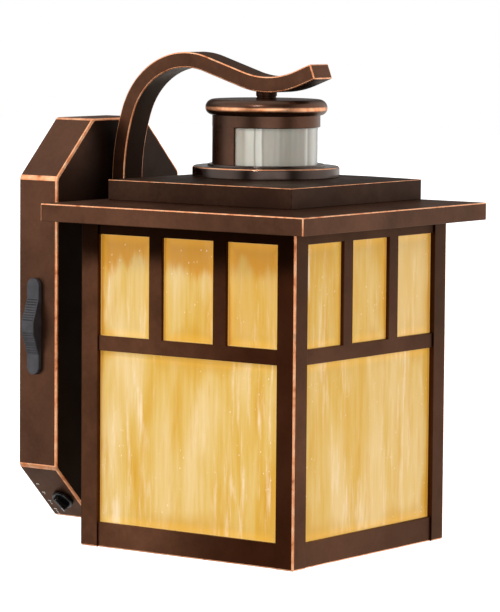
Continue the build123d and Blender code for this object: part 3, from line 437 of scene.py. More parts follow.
def art_glass(name, seed):
    """Streaky honey glass. Short feathery streaks run up and down. Painted shade deepens the
    colour near the edges of each pane and most of all along one side, and a painted roof shadow
    lies across the head of the left sheet. A thin painted highlight runs along each pane edge, and
    the white specks are seed bubbles and painted glints. Each sheet has a painted glow, most at
    the edges of its panes."""
    glow = GLOW[name]
    finish = Finish("art_glass_" + name, Roughness=0.25, Specular_IOR_Level=0.18,
                    Emission_Color=GLASS_GLOW, Emission_Strength=glow)
    turns = [seed * 3.1, seed * 1.7, seed * 0.9]
    shift, second, third = (tuple(turns[i:] + turns[:i]) for i in range(3))
    sideways = finish.x if name in ("front", "back") else finish.y - BODY_Y * MM
    is_upper = finish.math("GREATER_THAN", finish.z, MID_RAIL * MM)
    nearest, far_side = pane_edges(finish, sideways, is_upper)
    # Painted glow, brightest near the pane edges.
    if glow:
        finish.feed("Emission Strength", nearest.step(0.0, 0.007, glow + EDGE_GLOW, glow))

    def noise(scale, detail=4.0, rough=0.55, shift=shift, warp=0.0):
        return finish.noise(scale, detail, rough, shift, warp)

    drift = noise((26.0, 26.0, 14.0), detail=3.0)
    broad = noise((46.0, 46.0, 9.0), detail=2.5, rough=0.5, warp=0.2)
    fine = noise((360.0, 360.0, 20.0), rough=0.6)
    veins = noise((130.0, 130.0, 17.0), rough=0.6, shift=second)
    clusters = noise((20.0, 20.0, 9.0), shift=third).step(0.42, 0.6, 0.08, 0.8)
    wisps = noise((190.0, 190.0, 20.0), detail=5.0, rough=0.65).step(0.5, 0.72) * clusters
    # Painted shade: amber deepens near each pane's edge, and darker still along its far side.
    inset = drift.step(0.34, 0.66) * -0.014 + nearest
    far_side_shade = far_side / drift.step(0.35, 0.65, 0.0015, 0.0045)
    # White specks: seed bubbles, and painted glints.
    bubbles_and_glints = finish.cells((300.0, 300.0, 190.0), shift=shift).step(0.06, 0.16, 0.95, 0.0)

    layers = [(veins.step(0.54, 0.74, 0.0, 0.5), GLASS_AMBER),
              # Painted shade near the pane edges.
              (inset.step(-0.012, 0.004, 0.75, 0.0), GLASS_AMBER),
              (wisps, GLASS_WHITE)]
    if name in END_PANES:
        end, tint, amount = END_PANES[name]
        in_end = finish.math("GREATER_THAN", sideways * end, PANE_PITCH / 2 * MM)
        layers.append((in_end * broad.step(0.3, 0.7, 0.6 * amount, amount) * is_upper, tint))
    # A painted shadow of the roof across the head of the left sheet.
    if name == "left":
        reach = drift * 0.03 + (veins * 0.03 + finish.z)
        layers.append((reach.step(0.066, 0.077, 0.0, 0.85), GLASS_ROOF_SHADOW))
    # The white specks are seed bubbles and painted glints.
    layers += [(bubbles_and_glints * noise(40.0).step(0.5, 0.6), GLASS_WHITE),
               # Painted shade along each pane's far side.
               (far_side_shade.step(0.15, 1.0, 0.8, 0.0), GLASS_EDGE_SHADE),
               # A thin painted highlight along every pane edge.
               (nearest.step(0.0002, 0.0009, 0.4, 0.0), GLASS_PALE)]
    colour = (fine * 0.24 + broad * 0.76).ramp(
        (0.34, GLASS_AMBER), (0.42, GLASS_HONEY), (0.5, GLASS_CREAM), (0.62, GLASS_PALE))
    for amount, tint in layers:
        colour = finish.mix(amount, colour, tint)
    finish.colour(colour)
    finish.bump(broad, 0.12, 0.5)
    finish.bump(fine, 0.08, 0.15)
    return finish.material


def milky_lens():
    """Ribbed lens plastic: milky grey, with a paler facet at the left and pale seams, and painted
    shade at both ends where the drum's jambs meet it.
    """
    finish = Finish("milky_lens", Roughness=0.24, Subsurface_Weight=0.2,
                    Subsurface_Scale=0.003, Coat_Weight=0.3)
    angle = finish.math("ARCTAN2", finish.x, BODY_Y * MM - finish.y)
    angle = angle + finish.noise((40.0, 40.0, 14.0)) * 0.1
    grey, beige = srgb(162, 156, 143), srgb(168, 160, 144)
    pale, seam = srgb(220, 216, 204), srgb(140, 135, 122)
    # The dark ends are painted shade, where the drum's jambs meet the lens.
    jamb_shade_left, jamb_shade_right = srgb(60, 50, 42), srgb(70, 60, 50)
    # Degrees round the lens from its middle, with the shade at each.
    marks = ((-89, jamb_shade_left), (-87, beige), (-76, beige), (-71, pale), (-65.5, pale),
             (-64, seam), (-62.5, pale), (-57, pale), (-55.5, seam), (-53, beige), (-40, grey),
             (-4, grey), (0, pale), (3, grey), (14, pale), (26, grey), (62, beige), (70, pale),
             (72, seam), (75, beige), (91, jamb_shade_right))
    stops = [(min((degrees + 90) / 180, 1.0), shade) for degrees, shade in marks]
    colour = (angle * (1 / pi) + 0.5).ramp(*stops)
    haze = finish.noise((90.0, 90.0, 25.0), detail=3.0).step(0.4, 0.7, 0.0, 0.3)
    finish.colour(finish.mix(haze, colour, srgb(186, 181, 166)))
    return finish.material


# ---- other finishes ----

def moulded(name, dark, light, rough, relief=0.15):
    """A moulded plastic with a fine spark-eroded grain."""
    finish = Finish(name)
    finish.colour(finish.noise(120.0).blend(srgb(*dark), srgb(*light)))
    finish.roughen(finish.noise(260.0), rough, rough + 0.14)
    finish.bump(finish.noise(900.0, detail=2.0), relief, 0.06)
    return finish.material


def plated(name, dark, light, rough):
    """Plated or drawn metal with a faint lay from the tools."""
    finish = Finish(name, Metallic=1.0)
    lay = finish.noise((40.0, 900.0, 40.0), rough=0.7)
    tone = lay * 0.4 + finish.noise(70.0, detail=3.0) * 0.6
    finish.colour(tone.blend(srgb(*dark), srgb(*light)))
    finish.roughen(lay, rough, rough + 0.16)
    finish.bump(lay, 0.08, 0.03)
    return finish.material


def circuit_board():
    """Green solder mask over copper tracks, with rows of pads."""
    finish = Finish("circuit_board", Roughness=0.35, Coat_Weight=0.3)
    tracks = finish.cells(260.0, feature="DISTANCE_TO_EDGE").step(0.06, 0.12, 1.0, 0.0)
    base = finish.noise(90.0).blend(srgb(16, 74, 40), srgb(24, 96, 54))
    colour = finish.mix(tracks * 0.6, base, srgb(58, 140, 84))
    pads = finish.cells(420.0).step(0.1, 0.16, 0.8, 0.0)
    finish.colour(finish.mix(pads, colour, srgb(196, 190, 170)))
    finish.bump(tracks, 0.4, 0.08)
    return finish.material


def foam():
    finish = Finish("foam_rubber", Roughness=0.9)
    pores = finish.cells(1400.0)
    finish.colour(pores.ramp((0.1, srgb(22, 22, 23)), (0.6, srgb(52, 51, 50))))
    finish.bump(pores, 0.6, 0.15)
    return finish.material


def glazed(name, dark, light, rough):
    """Porcelain or lacquer: a smooth coat over a faintly uneven body."""
    finish = Finish(name, Coat_Weight=0.6, Coat_Roughness=0.05)
    finish.colour(finish.noise(150.0).blend(srgb(*dark), srgb(*light)))
    finish.roughen(finish.noise(300.0), rough, rough + 0.1)
    finish.bump(finish.noise(120.0), 0.08, 0.1)
    return finish.material


def frosted_bulb():
    finish = Finish("frosted_bulb", Roughness=0.35, Transmission_Weight=0.35, IOR=1.2)
    tone = finish.noise(60.0, detail=3.0)
    finish.colour(tone.ramp((0.3, srgb(232, 230, 224)), (0.7, srgb(250, 249, 245))))
    finish.bump(finish.noise(1500.0), 0.1, 0.03)
    return finish.material


def pale_floor():
    """White paper, lit from within so that it stays even to the horizon."""
    finish = Finish("pale_floor", Roughness=0.9, Emission_Color=(1.0, 1.0, 1.0, 1.0),
                    Emission_Strength=0.62)
    tone = finish.noise(0.4)
    finish.colour(tone.ramp((0.3, srgb(249, 249, 249)), (0.7, srgb(253, 253, 253))))
    return finish.material


# ---- mesh helpers ----

def bridge(bm, loops, closed=True, caps=False):
    """Quads between neighbouring loops of vertices, and a face over each end if capped."""
    for first, second in zip(loops, loops[1:]):
        for i in range(len(first) if closed else len(first) - 1):
            j = (i + 1) % len(first)
            bm.faces.new((first[i], first[j], second[j], second[i]))
    if caps:
        bm.faces.new(loops[0])
        bm.faces.new(loops[-1])


def loft(bm, loops, place=Matrix.Identity(4), caps=True):
    """A skin over closed loops of points, which are given in a local frame."""
    loops = [[bm.verts.new(place @ Vector(point)) for point in loop] for loop in loops]
    bridge(bm, loops, caps=caps)
    return loops


def brick(bm, low, high, place=Matrix.Identity(4)):
    """A box between two corners, in a local frame."""
    plan = [(low[0], low[1]), (high[0], low[1]), (high[0], high[1]), (low[0], high[1])]
    return loft(bm, [[(x, y, z) for x, y in plan] for z in (low[2], high[2])], place)


def spin(bm, profile, place=UPRIGHT, steps=96, start=0.0, turn=360.0, closed=False):
    """Turns (radius, height) points about the local Z axis. Angle 0 is the local -Y."""
    full = turn == 360.0
    loops = []
    for step in range(steps if full else steps + 1):
        angle = radians(start + turn * step / steps)
        ring = [Vector((r * sin(angle), -r * cos(angle), z)) for r, z in profile]
        loops.append([bm.verts.new(place @ point) for point in ring])
    if full:
        loops.append(loops[0])
    bridge(bm, loops, closed, caps=closed and not full)


def square_stack(bm, levels, closed=False):
    """Square loops about the lantern's axis, each (half side, height), joined in order."""
    corners = ((-1, -1), (1, -1), (1, 1), (-1, 1))
    loops = []
    for half, z in levels:
        loops.append([bm.verts.new((sx * half, BODY_Y + sy * half, z)) for sx, sy in corners])
    bridge(bm, loops + loops[:1] if closed else loops, caps=not closed)


def bevel(bm, test, width, segments=2, material=-1):
    """Bevels the edges whose two ends pass a test, and gives the new faces a material."""
    bmesh.ops.recalc_face_normals(bm, faces=bm.faces)
    chosen = [e for e in bm.edges if len(e.link_faces) == 2 and e.calc_face_angle() > radians(3)
              and test(e.verts[0].co, e.verts[1].co)]
    bmesh.ops.bevel(bm, geom=chosen, offset=width, offset_type="OFFSET", segments=segments,
                    profile=0.5, affect="EDGES", clamp_overlap=True, material=material)


def same(a, b):
    return abs(a - b) < 0.01


def lying(x=None, y=None, z=None):
    """A test for edges that lie in a plane, or along the line where two planes meet."""
    wanted = [(axis, place) for axis, place in enumerate((x, y, z)) if place is not None]
    return lambda a, b: all(same(co[axis], place) for co in (a, b) for axis, place in wanted)


def on_square(half):
    """A test for edges that lie on the upright faces of a square about the axis."""
    return lambda a, b: all(same(max(abs(co.x), abs(co.y - BODY_Y)), half) for co in (a, b))


def arc(centre, radius, start, end, steps):
    """Points on an arc in the (radius, height) plane, with angles in degrees."""
    angles = [radians(start + (end - start) * i / steps) for i in range(steps + 1)]
    return [(centre[0] + radius * cos(a), centre[1] + radius * sin(a)) for a in angles]


def piece(name, bm, materials, nodes, slot, body="lantern", sharp=50.0):
    """Turns a shape drawn in millimetres into a piece in the row frame."""
    bmesh.ops.remove_doubles(bm, verts=bm.verts, dist=1e-4)
    bmesh.ops.recalc_face_normals(bm, faces=bm.faces)
    bmesh.ops.scale(bm, vec=(MM, MM, MM), verts=bm.verts)
    mesh = bpy.data.meshes.new(name)
    bm.to_mesh(mesh)
    bm.free()
    for material in materials:
        mesh.materials.append(material)
    for polygon in mesh.polygons:
        polygon.use_smooth = True
    mesh.set_sharp_from_angle(angle=radians(sharp))
    obj = bpy.data.objects.new(name, mesh)
    bpy.context.scene.collection.objects.link(obj)
    weighted = obj.modifiers.new("even_normals", "WEIGHTED_NORMAL")
    weighted.keep_sharp = True
    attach(obj, body)
    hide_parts(*nodes)


def lathed(name, profile, materials, nodes, slot, closed=True, steps=128, **options):
    """A piece turned about the lantern's axis."""
    bm = bmesh.new()
    spin(bm, profile, closed=closed, steps=steps)
    piece(name, bm, materials, nodes, slot, **options)


# ---- wall box ----

def box_outline(inset, y):
    """The wall box's octagon at one depth, drawn in by an inset."""
    half_w = BOX_HIGH.x - inset
    half_h = BOX_HIGH.z - inset
    cut = BOX_CORNER - inset * (2 - sqrt(2))
    right = [(half_w, cut - half_h), (half_w, half_h - cut), (half_w - cut, half_h)]
    left = [(-x, z) for x, z in reversed(right)]
    points = right + left + [(cut - half_w, -half_h), (half_w - cut, -half_h)]
    return [(x, y, z) for x, z in points]


def wall_box_shell(paint, copper):
    """A cast tray, with its outer edges rubbed to copper, and posts inside for the board."""
    bm = bmesh.new()
    front = BOX_LOW.y
    inside = front + BOX_FRONT
    rings = [(0, front), (0, 0), (BOX_WALL, 0), (BOX_WALL, inside)]
    loft(bm, [box_outline(inset, y) for inset, y in rings])

    def outer(co):
        return abs(co.x) > BOX_HIGH.x - 0.5 or abs(co.z) > BOX_HIGH.z - 0.5

    def runs_back(a, b):
        return outer(a) and outer(b) and same(a.x, b.x) and same(a.z, b.z)

    bevel(bm, runs_back, 1.8, segments=3, material=1)
    bevel(bm, lying(y=front), 1.5, segments=3, material=1)
    board_low, board_high = node_box("control_board")
    from_edge, foot, head, hole, sunk = 4, 3.4, 3.0, 1.25, 0.3
    height = board_low.y - inside + 0.25
    post = [(foot, 0), (head, height), (hole, height), (hole, 0.5), (0, 0.5)]
    for x in (board_low.x + from_edge, board_high.x - from_edge):
        for z in (board_low.z + from_edge, board_high.z - from_edge):
            spin(bm, post, facing(x, inside - sunk, z, toward_wall=True), steps=24)
    piece("wall_box_shell", bm, [paint, copper], ["wall_box"], "bronze")


# ---- lantern body ----

def turned(quarter):
    """The lantern's axis turned by quarters, for pieces that are drawn at the front."""
    return UPRIGHT @ rotation(90 * quarter, "Z")


def corner_post(name, quarter, paint, copper):
    """An L-shaped post, drawn at the front left. Its foot is rubbed, and so is its outer
    corner if it is one of the two at the front."""
    half, edge = BODY_HALF, BODY_HALF - POST_WIDTH
    inner = half - POST_THICK
    plan = [(-half, -half), (-edge, -half), (-edge, -inner)]
    plan += [(y, x) for x, y in reversed(plan[1:])]
    plan.insert(3, (-inner, -inner))
    bm = bmesh.new()
    loft(bm, [[(x, y, z) for x, y in plan] for z in (BODY_BOTTOM, POST_HIGH.z)])
    at_foot = lying(z=BODY_BOTTOM)
    bevel(bm, lying(x=-half, y=-half), 1.15, segments=3,
          material=1 if name.startswith("front") else 0)
    bevel(bm, lambda a, b: at_foot(a, b) and min(a.x + b.x, a.y + b.y) < 1 - 2 * half, 1.0,
          material=1)
    bevel(bm, lying(x=-edge, y=-half), 0.3)
    bevel(bm, lying(x=-half, y=-edge), 0.3)
    bm.transform(turned(quarter))
    piece("post_" + name, bm, [paint, copper], ["corner_post_" + name], "bronze")


def side_frame(name, quarter, paint, copper):
    """One side of the cage, drawn at the front: rails, muntins and mitred ends. A grid of
    cells, without those of the windows, is thickened inwards."""
    inner = PANE_WIDTH / 2
    outer = inner + MUNTIN_WIDTH
    half = [inner, outer, WINDOW_HALF, FRAME_OUT]
    across = [-u for u in reversed(half)] + half
    up = [BODY_BOTTOM, WINDOW_LOW, MID_RAIL_LOW, MID_RAIL_HIGH, WINDOW_HIGH, POST_HIGH.z]
    lower_window = [(column, 1) for column in range(1, 6)]
    upper_windows = [(column, 3) for column in (1, 3, 5)]

    bm = bmesh.new()
    grid = [[bm.verts.new((u, -FRAME_OUT, z)) for z in up] for u in across]
    cells = []
    for column, (first, second) in enumerate(zip(grid, grid[1:])):
        for row in range(len(up) - 1):
            if (column, row) not in lower_window + upper_windows:
                corners = (first[row], second[row], second[row + 1], first[row + 1])
                cells.append(bm.faces.new(corners))
    back = bmesh.ops.extrude_face_region(bm, geom=cells)["geom"]
    for vert in (v for v in back if isinstance(v, bmesh.types.BMVert)):
        vert.co.y += FRAME_THICK
        if abs(vert.co.x) > FRAME_IN:
            vert.co.x -= FRAME_THICK if vert.co.x > 0 else -FRAME_THICK

    def window_edge(a, b):
        return lying(y=-FRAME_OUT)(a, b) and all(
            abs(co.x) < FRAME_IN and BODY_BOTTOM + 1 < co.z < POST_HIGH.z - 1 for co in (a, b))

    bevel(bm, window_edge, 0.4)
    bevel(bm, lying(y=-FRAME_OUT, z=BODY_BOTTOM), 0.9, material=1)
    bm.transform(turned(quarter))
    piece("frame_" + name, bm, [paint, copper], ["side_frame_" + name], "bronze")


def glass_sheet(name, quarter, material):
    """A sheet of hand-rolled glass, drawn at the front, with long shallow waves in its face."""
    low, high = node_box("glass_" + name)
    width = max(high.x - low.x, high.y - low.y)
    left, face = 0.3 - FRAME_IN, GLASS_GAP - FRAME_IN
    columns, rows, relief = 56, 64, 0.16

    def wave(u, z):
        return (0.5 + 0.25 * sin(u / 5.3 + 1.6 * sin(z / 31 + quarter))
                + 0.25 * sin(u / 13 - z / 57 + 2 * quarter))

    bm = bmesh.new()
    outer, inner = [], []
    for row in range(rows + 1):
        z = low.z + (high.z - low.z) * row / rows
        line = [left + width * column / columns for column in range(columns + 1)]
        depths = [relief * wave(u, z) for u in line]
        outer.append([bm.verts.new((u, face + d, z)) for u, d in zip(line, depths)])
        inner.append([bm.verts.new((u, face + GLASS_THICK - d, z)) for u, d in zip(line, depths)])
    rims = [[outer[0], inner[0]], [outer[-1], inner[-1]]]
    rims += [[[line[column] for line in sheet] for sheet in (outer, inner)] for column in (0, -1)]
    for loops in [outer, inner] + rims:
        bridge(bm, loops, closed=False)
    bm.transform(turned(quarter))
    piece("art_glass_" + name, bm, [material], ["glass_" + name], "art_glass", sharp=70)


def folded_ring(name, node, materials, hole, stands):
    """A flat square ring with a lip behind the glass, folded from one strip. The lip stands
    up from the ring at the foot of the cage, and hangs down from the one at its head."""
    low, high, half = round_box(node)
    fold, strip, gap = 1.8, 1.2, 0.2
    flat, lip, inside = (low, high, low + fold) if stands else (high, low, high - fold)
    lip_out = FRAME_IN - GLASS_GAP - GLASS_THICK - gap
    bm = bmesh.new()
    square_stack(bm, [(half, flat), (half, inside), (lip_out, inside), (lip_out, lip),
                      (lip_out - strip, lip), (lip_out - strip, inside), (hole, inside),
                      (hole, flat)], closed=True)
    if stands:
        bevel(bm, lying(z=flat), 0.5)
    else:
        bevel(bm, on_square(hole), 0.3)
    bevel(bm, lying(z=lip), 0.3)
    piece(name, bm, materials, [node], "bronze")


# ---- roof ----

def roof_shell(crown_half, crown, half, rim, low, wall):
    """A square pan, open below: a gently sloping top over plain sides."""
    bm = bmesh.new()
    square_stack(bm, [(crown_half, crown), (half, rim), (half, low), (half - wall, low),
                      (half - wall, rim - wall)])
    return bm


def roof_pan(paint, copper):
    """The wide slab, rubbed along its rim and its corners."""
    bm = roof_shell(TIER_HALF, SLAB_HIGH, SLAB_HALF, SLAB_RIM, SLAB_LOW, SLAB_WALL)
    on_side, at_foot = on_square(SLAB_HALF), lying(z=SLAB_LOW)
    bevel(bm, lambda a, b: on_side(a, b) and not at_foot(a, b), 0.65, segments=3, material=1)
    bevel(bm, at_foot, 0.4)
    piece("roof_pan", bm, [paint, copper], ["roof_slab"], "bronze")


def roof_step(paint, copper):
    """The upper tier: its top edge is rubbed, and its upright corners are only softened."""
    bm = roof_shell(TIER_CROWN_HALF, TIER_HIGH, TIER_HALF, TIER_RIM, TIER_LOW, TIER_WALL)
    on_side = on_square(TIER_HALF)
    bevel(bm, lambda a, b: on_side(a, b) and not same(a.z, b.z), 0.5, segments=3)
    bevel(bm, lying(z=TIER_RIM), 0.65, segments=3, material=1)
    bevel(bm, lying(z=TIER_LOW), 0.35)
    piece("roof_step", bm, [paint, copper], ["roof_tier"], "bronze")


def soffit_sheet(paint):
    low, high, half = round_box("roof_soffit")
    bm = bmesh.new()
    square_stack(bm, [(half, high), (half, low)])
    bevel(bm, on_square(half), 0.3)
    piece("soffit_sheet", bm, [paint], ["roof_soffit"], "bronze")


# ---- swan-neck arm ----

def arm_stations():
    """Points and headings along the arm's middle line, from its foot to its tip."""
    outward = ARM_THICK / 2 - ARM_HIGH.y
    heading = pi / 2
    point = Vector((outward, ARM_RISE))
    stations = [(Vector((outward, ARM_LOW.z)), heading), (point, heading)]
    for size, turn in ARM_BENDS:
        steps = max(8, int(abs(turn) * size / 90)) if turn else 1
        step = radians(turn) / steps
        chord = 2 * size * sin(abs(step) / 2) if turn else size
        for _ in range(steps):
            middle = heading + step / 2
            point = point + chord * Vector((cos(middle), sin(middle)))
            heading += step
            stations.append((point, heading))
    return stations


def swan_arm(paint, copper, underside_shade_paint):
    """A flat bar bent into a swan neck, with all its long edges rubbed to copper. Its underside,
    which looks back at itself, is given a darker painted shade."""
    loops = []
    for point, heading in arm_stations():
        lift = ARM_THICK / 2 * Vector((-sin(heading), cos(heading)))
        section = ((-1, point - lift), (1, point - lift), (1, point + lift), (-1, point + lift))
        loops.append([Vector((side * ARM_HALF_WIDTH, -co.x, co.y)) for side, co in section])
    bm = bmesh.new()
    verts = loft(bm, loops)
    # The underside takes the darker painted-shade bronze.
    underside = {loop[corner] for loop in verts for corner in (0, 1)}
    for face in bm.faces:
        if underside.issuperset(face.verts):
            face.material_index = 2

    def at_tip(co):
        return any((co - corner).length < 0.01 for corner in loops[-1])

    bevel(bm, lambda a, b: same(a.x, b.x) or at_tip(a) and at_tip(b), 0.75, segments=3,
          material=1)
    piece("swan_arm", bm, [paint, copper, underside_shade_paint], ["swan_neck_arm"], "bronze")


# ---- sensor head ----

def sensor_flange():
    """The flange under the drum: a rounded rim with a rubbed line, and a small step."""
    low, top = FLANGE_LOW, FLANGE_TOP
    seat = FLANGE_HIGH - 1.5
    rim, hub, skirt, plate, fillet, nose = 1.6, 9.3, 2.2, 2.0, 0.8, 0.5
    profile = [(NECK_BORE, low), (hub, low), (hub, top - plate), (FLANGE_R - skirt, top - plate),
               (FLANGE_R - skirt, low), (FLANGE_R - 0.4, low), (FLANGE_R, low + 0.4)]
    profile += arc((FLANGE_R - rim, top - rim), rim, 0, 90, 6) + [(STEP_R + fillet, top)]
    profile += arc((STEP_R + fillet, top + fillet), fillet, 270, 180, 4)[1:]
    profile += arc((STEP_R - nose, seat - nose), nose, 0, 90, 3) + [(NECK_BORE, seat)]
    line = banded_bronze("bronze_flange", HEAD_SHADE_TONES, gloss=0.12, lacquer=0.32,
                         across="radius", centre_mm=FLANGE_R - 0.55, half_mm=0.1, soft_mm=0.35)
    lathed("sensor_flange", profile, [line], ["sensor_base"], "bronze", sharp=40)


def sensor_drum(paint):
    """The drum: a full collar under the cap, and a half shell facing the wall."""
    inner = DRUM_R - DRUM_WALL
    soft, overlap = 0.5, 0.6
    low, mid, high = DRUM_LOW, LENS_TOP, DRUM_HIGH
    collar = [(inner, mid), (DRUM_R - soft, mid)]
    collar += arc((DRUM_R - soft, mid + soft), soft, 270, 360, 4)[1:]
    collar += [(DRUM_R, high), (inner, high)]
    shell = [(inner, low), (DRUM_R, low), (DRUM_R, mid + overlap), (inner, mid + overlap)]
    bm = bmesh.new()
    spin(bm, collar, closed=True, steps=128)
    spin(bm, shell, start=90, turn=180, closed=True, steps=64)

    def window_jamb(a, b):
        outside = all(same(hypot(co.x, co.y - BODY_Y), DRUM_R) for co in (a, b))
        return lying(y=BODY_Y)(a, b) and outside and not same(a.z, b.z)

    bevel(bm, window_jamb, 0.5)
    piece("sensor_drum", bm, [paint], ["sensor_housing"], "bronze", sharp=40)


def sensor_window(material):
    """The half-round lens: narrow flat facets, as a segmented lens has, in a smooth skin."""
    outer, inner = LENS_R, LENS_R - 1.2
    low, high = LENS_LOW, LENS_HIGH
    facets, steps_per_facet, turn, relief = 26, 4, 186.0, 0.16
    steps = facets * steps_per_facet
    loops = []
    for step in range(steps + 1):
        angle = radians(-turn / 2 + turn * step / steps)
        skin = outer - relief * (1 - abs(sin(pi * step / steps_per_facet)))
        ring = [(inner, low), (skin, low), (skin, high), (inner, high)]
        loops.append([(r * sin(angle), -r * cos(angle), z) for r, z in ring])
    bm = bmesh.new()
    loft(bm, loops, UPRIGHT)
    piece("lens_window", bm, [material], ["sensor_lens"], "sensor_lens", sharp=45)


def sensor_crown():
    """The cap: a flattened bead, rubbed to copper round its widest line."""
    low, high = CAP_LOW, CAP_HIGH
    recess, land, lower, upper = low + 6.9, DRUM_R - 3, CAP_LOWER, CAP_UPPER
    dome_points, dome = 6, 26
    profile = [(NECK_BORE, recess), (land, recess), (land, low), (CAP_R - lower, low)]
    profile += arc((CAP_R - lower, low + lower), lower, 270, 360, 12)[1:]
    profile += arc((CAP_R - upper, high - upper), upper, 0, 90, 14)[1:]
    profile += [(CAP_R - upper - dome * i / dome_points, high) for i in range(1, dome_points + 1)]
    profile += [(NECK_BORE, high)]
    band = banded_bronze("bronze_cap", BRONZE_TONES, gloss=0.27, lacquer=0.1, across="height",
                         centre_mm=low + lower - 0.3, half_mm=0.45, soft_mm=1.2)
    lathed("sensor_crown", profile, [band], ["sensor_cap"], "bronze", sharp=40)


def neck_sleeve(paint):
    """The sleeve between cap and arm, with a small bead at its foot."""
    low, high, radius = round_box("neck_collar")
    waist = radius - 0.5
    profile = [(NECK_BORE, low), (radius, low), (radius, low + 0.5), (waist, low + 0.9),
               (waist, low + 1.8), (radius, low + 2.2), (radius, high), (NECK_BORE, high)]
    lathed("neck_sleeve", profile, [paint], ["neck_collar"], "bronze", steps=64, sharp=40)


# ---- controls ----

def thumb_slider(material):
    """The peaked slider: flat ends, ribbed slopes, a flat land in the middle, rounded rims."""
    low, high = node_box("slide_control")
    centre = (low + high) / 2
    half_length, half_width = (high.z - low.z) / 2, (high.y - low.y) / 2
    face = BOX_LOW.x - 0.4
    end_height, peak_height, rim, ribs, steps = 2.8, 8.0, 0.7, 9, 400
    peak, shoulder = 3.5, half_length - 13.0

    def slope(z):
        """How far a point is down the ribbed slope, from 0 to 1."""
        return min(max((abs(z) - peak) / (shoulder - peak), 0.0), 1.0)

    def groove(z):
        depth = (0.55 if z > 0 else 0.3) if peak < abs(z) < shoulder else 0.0
        return depth * max(0.0, sin(2 * pi * ribs * slope(z) - pi / 2)) ** 0.6

    loops = []
    for step in range(steps + 1):
        # Stations crowd towards the rounded ends, where the outline turns quickly.
        z = half_length * 0.999 * sin(pi / 2 * (2 * step / steps - 1))
        over = max(0.0, abs(z) - (half_length - half_width))
        wide = sqrt(half_width ** 2 - over ** 2)
        edge = min(rim, 0.6 * wide)
        top = peak_height + (end_height - peak_height) * slope(z)
        land = top - groove(z)
        section = [(-wide, 0.0), (-wide, top - edge), (-wide + 0.3 * edge, top - 0.3 * edge),
                   (-wide + edge, top), (-wide + 1.6 * edge, land), (-0.3 * wide, land)]
        section += [(-y, height) for y, height in reversed(section)]
        loops.append([(face - height, centre.y + y, centre.z + z) for y, height in section])
    bm = bmesh.new()
    loft(bm, loops)
    stem_y, stem_z = 2.0, 4.0
    brick(bm, (face - 0.2, centre.y - stem_y, centre.z - stem_z),
          (high.x, centre.y + stem_y, centre.z + stem_z))
    piece("thumb_slider", bm, [material], ["slide_control"], "slider_plastic", body="slider",
          sharp=35)


def knob_frame():
    """The knob's own frame on the lower left cut corner, from its joint: +Z points outward."""
    joint = next(j for j in frame["joints"] if j["name"] == "knob_turn")
    outward = Vector(joint["axis"]).normalized()
    along = Vector((-outward.z, 0, outward.x))
    turn = Matrix((along, outward.cross(along), outward)).transposed().to_4x4()
    return Matrix.Translation(Vector(joint["pos_m"]) / MM) @ turn


def finger_knob(material, pointer):
    """A dished disc with a waisted finger bar and a pale pointer line, on a shaft."""
    gap, radius, rim, dish, shaft = 0.4, 7.2, 0.7, 0.35, 3.0
    disc = gap + 2.2
    length, wide, top, stations = 6.1, 1.75, disc + 3.75, 24
    place = knob_frame()
    bm = bmesh.new()
    profile = [(0, gap), (radius - 0.3, gap), (radius, gap + 0.3), (radius, disc - rim)]
    profile += arc((radius - rim, disc - rim), rim, 0, 90, 4)[1:]
    profile += [(radius - 2 * rim, disc), (radius - 1.9, disc - dish), (0, disc - dish)]
    spin(bm, profile, place, steps=72)
    spin(bm, [(0, -9.0), (shaft - 0.3, -9.0), (shaft, -8.7), (shaft, gap + 0.1), (0, gap + 0.1)],
         place, steps=40)

    grip = place @ rotation(12, "Z")
    loops = []
    for station in range(stations + 1):
        x = -length + 2 * length * station / stations
        end = max(0.0, abs(x) - (length - wide))
        half = sqrt(max(0.04, wide ** 2 - end ** 2)) * (0.86 + 0.14 * (x / length) ** 2)
        section = [(half, disc - 0.6), (half * 0.92, top - 0.8), (half * 0.6, top - 0.1)]
        section = [(-y, z) for y, z in section] + section[::-1]
        loops.append([(x, y, z) for y, z in section])
    loft(bm, loops, grip)
    before = set(bm.faces)
    brick(bm, (length - 3.4, -0.32, top - 0.3), (length - 0.5, 0.32, top - 0.02), grip)
    for face in set(bm.faces) - before:
        face.material_index = 1
    piece("finger_knob", bm, [material, pointer], ["selector_knob"], "knob_plastic", body="knob",
          sharp=40)


def raised_marks(material):
    """Four settings beside the knob: a tick each, with one dot more for each step up."""
    settings, pitch, row, tall, soft = 4, 8.6, -14.0, 0.25, 0.08
    tick_x, tick_y, dot, dot_pitch = 0.4, 1.2, 0.5, 1.7
    place = knob_frame()
    bm = bmesh.new()
    for setting in range(settings):
        x = (setting - (settings - 1) / 2) * pitch
        tick = brick(bm, (x - tick_x, row - tick_y, 0), (x + tick_x, row + tick_y, tall), place)
        edges = {edge for loop in tick for vert in loop for edge in vert.link_edges}
        bmesh.ops.bevel(bm, geom=list(edges), offset=soft, segments=2, profile=0.5, affect="EDGES")
        for step in range(1, setting + 1):
            spin(bm, [(0, 0), (dot, 0), (dot - 0.02, tall - soft), (dot - 0.1, tall), (0, tall)],
                 place @ Matrix.Translation((x + dot_pitch * step, row, 0)), steps=20)
    piece("raised_marks", bm, [material], ["dial_marks"], "legend_paint")


# ---- fixings and wiring ----

def facing(x, y, z, toward_wall=False):
    """A frame at a point with +Z along -Y, out into the room, or along +Y."""
    return Matrix.Translation((x, y, z)) @ rotation(-90 if toward_wall else 90, "X")


